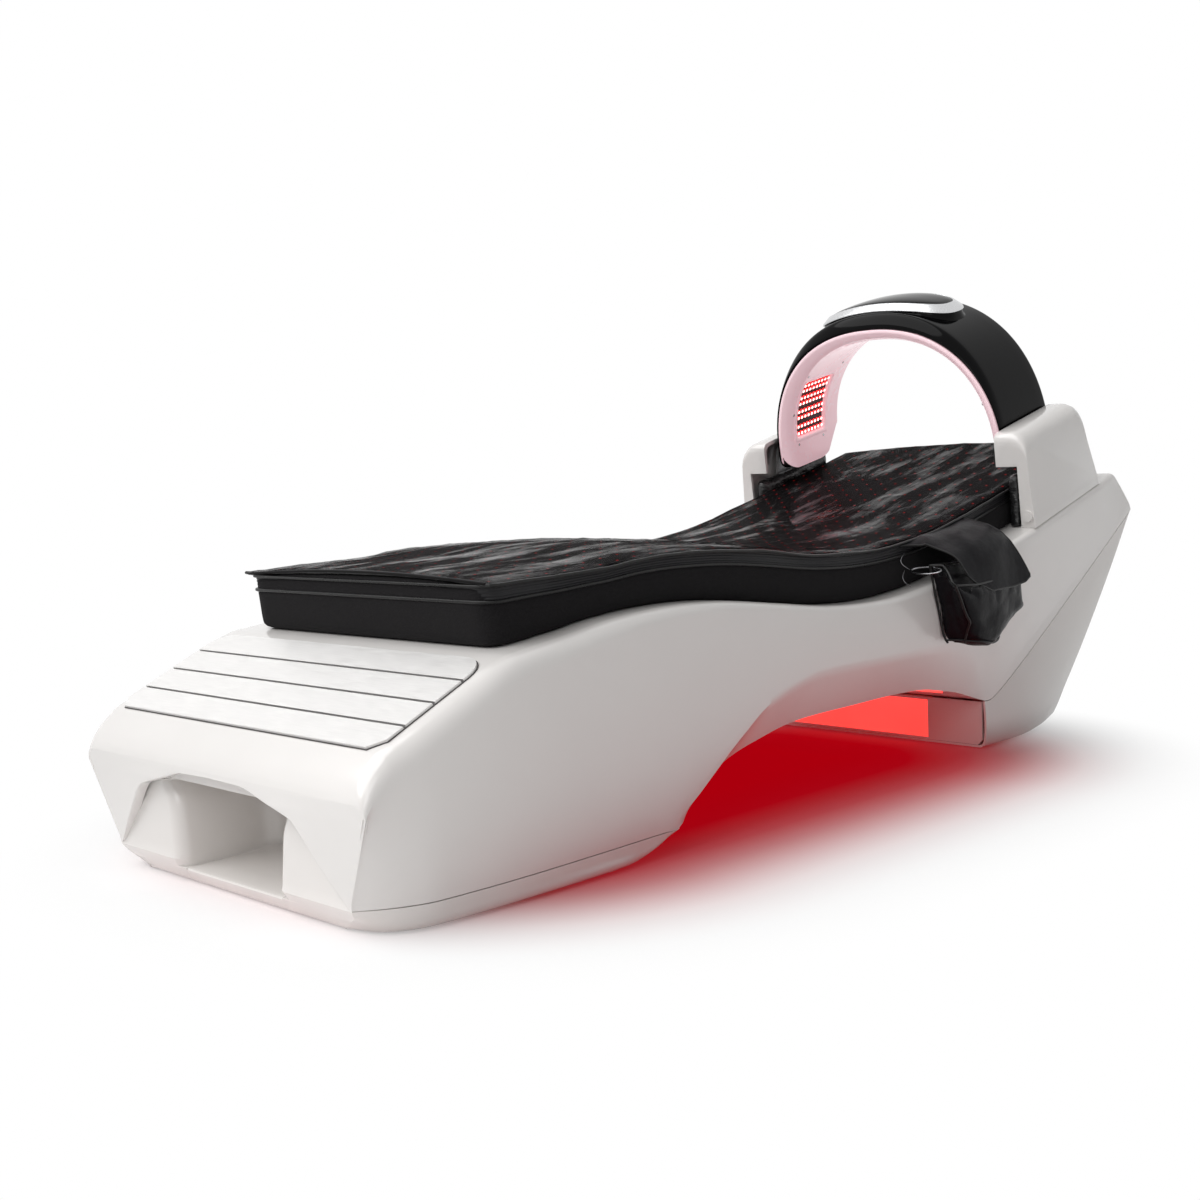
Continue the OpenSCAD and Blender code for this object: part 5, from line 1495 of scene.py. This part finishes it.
# CAD pieces that keep their shape get their own finish
cadFinish = {
    "stepSilver": "step_plate_1 step_plate_2 step_plate_3 step_plate_4",
    "backingDark": "step_backing",
    "panWhite": "belly_panel head_front",
    "glowRed": "glow_panel glow_strip_left glow_strip_right",
    "frameSteel": "rail_left rail_right foot_frame head_frame arch_brackets",
    "ribPly": "deck_rib_1 deck_rib_2 deck_rib_3 deck_rib_4",
    "rubber": "rubber_feet",
    "boxMetal": "power_supply control_box",
    "inletBlack": "power_inlet",
    "knitBlack": "mattress",
    "matBlack": "light_mat",
    "clearFilm": "clear_cover",
    "shellWhite": "housing_caps",
    "padLeather": "side_pad_left side_pad_right",
    "pivotSteel": "pivot_plate_left pivot_plate_right pivot_pins liner_screws",
    "washerBlack": "friction_washers",
    "archBlack": "arch_shell arch_pod",
    "linerPinkPaintedGlow": "arch_liner",
    "bandSilver": "pod_band",
    "boardBlack": "lamp_board_left lamp_board_right lamp_board_top",
    "lampRim": "lamps_left lamps_right lamps_top",
    "pouchSatin": "pouch_bag pouch_flap",
    "wire": "pouch_ring",
}
for finishName, nodeNames in cadFinish.items():
    for nodeName in nodeNames.split():
        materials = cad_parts[nodeName].data.materials
        materials.clear()
        materials.append(finish[finishName])
print("carried-over pieces finished")

# Floor, with the red light that the head block throws under the bed painted on it as a pool of colour and
# glow
floorLook = {"size": 24, "white": 0.9, "paintedPoolCentre": (0.0, -0.12), "paintedPoolHalf": (0.12, 0.44),
             "paintedPoolFade": 0.68, "blendFrom": 0.36, "blendTo": 0.85}


def combined(tree, kind, operation, first, second=None):
    # A math node of either kind: the second input is a socket or a fixed value
    made = makeNode(tree, kind, {"operation": operation})
    tree.links.new(first, made.inputs[0])
    if isinstance(second, bpy.types.NodeSocket):
        tree.links.new(second, made.inputs[1])
    elif second:
        made.inputs[1].default_value = second
    return made


def makeFloor():
    mesh = bpy.data.meshes.new("floor")
    h = floorLook["size"] / 2
    mesh.from_pydata([(-h, -h, 0), (h, -h, 0), (h, h, 0), (-h, h, 0)], [], [(0, 1, 2, 3)])
    floor = bpy.data.objects.new("floor", mesh)
    bpy.context.scene.collection.objects.link(floor)
    floor.data.materials.append(floorFinish())


def floorFinish():
    white = floorLook["white"]
    mat, tree, surface = shader("floorPaleWithPaintedPool", (white, white, white), 0.9, Specular_IOR_Level=0.0,
                                Emission_Strength=1.0)
    vector, plain = "ShaderNodeVectorMath", "ShaderNodeMath"
    # Distance from the painted pool's core, a box on the floor
    where = makeNode(tree, "ShaderNodeTexCoord").outputs["Object"]
    centre = combined(tree, vector, "SUBTRACT", where, (*floorLook["paintedPoolCentre"], 0))
    away = combined(tree, vector, "ABSOLUTE", centre.outputs[0])
    past = combined(tree, vector, "SUBTRACT", away.outputs[0], (*floorLook["paintedPoolHalf"], 0))
    kept = combined(tree, vector, "MAXIMUM", past.outputs[0])
    reach = combined(tree, vector, "LENGTH", kept.outputs[0]).outputs["Value"]
    share = makeNode(tree, "ShaderNodeMapRange", {"From Max": floorLook["paintedPoolFade"]}, Value=reach)
    # Painted light: the red pool is painted into the floor's colour, deep red at the core fading to white
    tone = ramp(tree, share.outputs[0], [
        (0.0, (0.12, 0.0, 0.002)), (0.25, (0.22, 0.012, 0.02)), (0.44, (0.42, 0.12, 0.13)),
        (0.62, (0.66, 0.40, 0.41)), (0.8, (0.85, 0.72, 0.72)), (1.0, (white, white, white))])
    tree.links.new(tone, surface.inputs["Base Color"])
    # Painted light: the pool's core also glows red, fading out towards its edge
    lit = ramp(tree, share.outputs[0], [
        (0.0, (0.36, 0.0, 0.004)), (0.25, (0.30, 0.0, 0.004)), (0.44, (0.20, 0.01, 0.015)),
        (0.62, (0.10, 0.02, 0.02)), (0.85, (0, 0, 0))])
    tree.links.new(lit, surface.inputs["Emission Color"])
    # Further out the floor turns into the white background, for the camera and in reflections
    fade = makeNode(tree, "ShaderNodeMapRange", {
        "interpolation_type": "SMOOTHSTEP", "From Min": floorLook["blendFrom"],
        "From Max": floorLook["blendTo"]}, Value=reach)
    rays = makeNode(tree, "ShaderNodeLightPath").outputs
    seen = combined(tree, plain, "MAXIMUM", rays["Is Camera Ray"], rays["Is Glossy Ray"])
    blend = combined(tree, plain, "MULTIPLY", seen.outputs[0], fade.outputs[0])
    glow = makeNode(tree, "ShaderNodeEmission", {"Strength": 1.0})
    both = makeNode(tree, "ShaderNodeMixShader", None, Fac=blend.outputs[0])
    tree.links.new(surface.outputs[0], both.inputs[1])
    tree.links.new(glow.outputs[0], both.inputs[2])
    tree.links.new(both.outputs[0], tree.nodes["Material Output"].inputs["Surface"])
    return mat


# Light: an even pale world, a soft key from the upper left of the foot end
lightLook = {"world": 0.15, "key": 2.65, "keySoft": 60, "keyFrom": (-0.40, -0.55, 1.0),
             "fill": 17, "fillSize": 1.6, "fillAt": (1.7, -2.7, 1.9), "fillTo": (0.2, -0.6, 0.3)}


def makeWorld():
    world = bpy.data.worlds.new("world")
    bpy.context.scene.world = world
    world.use_nodes = True
    tree = world.node_tree
    back = tree.nodes["Background"]
    rays = makeNode(tree, "ShaderNodeLightPath").outputs
    plain = "ShaderNodeMath"
    through = combined(tree, plain, "MAXIMUM", rays["Is Glossy Ray"], rays["Is Transmission Ray"])
    seen = combined(tree, plain, "MAXIMUM", rays["Is Camera Ray"], through.outputs[0])
    power = makeNode(tree, "ShaderNodeMapRange", {
        "To Min": lightLook["world"], "To Max": 1.0}, Value=seen.outputs[0])
    tree.links.new(power.outputs[0], back.inputs["Strength"])
    back.inputs["Color"].default_value = (1, 1, 1, 1)


def makeLamp(kind, name, energy, facing, place=(0, 0, 0), **settings):
    data = bpy.data.lights.new(name, kind)
    data.energy = energy
    for key, value in settings.items():
        setattr(data, key, value)
    lamp = bpy.data.objects.new(name, data)
    lamp.location = place
    lamp.rotation_euler = Vector(facing).to_track_quat("Z", "Y").to_euler()
    bpy.context.scene.collection.objects.link(lamp)


def makeLight():
    makeWorld()
    makeLamp("SUN", "key", lightLook["key"], lightLook["keyFrom"], angle=math.radians(lightLook["keySoft"]))
    back = Vector(lightLook["fillAt"]) - Vector(lightLook["fillTo"])
    makeLamp("AREA", "fill", lightLook["fill"], back, lightLook["fillAt"], size=lightLook["fillSize"])


makeFloor()
makeLight()
bpy.context.scene.view_settings.view_transform = "Standard"
print("floor and light made")
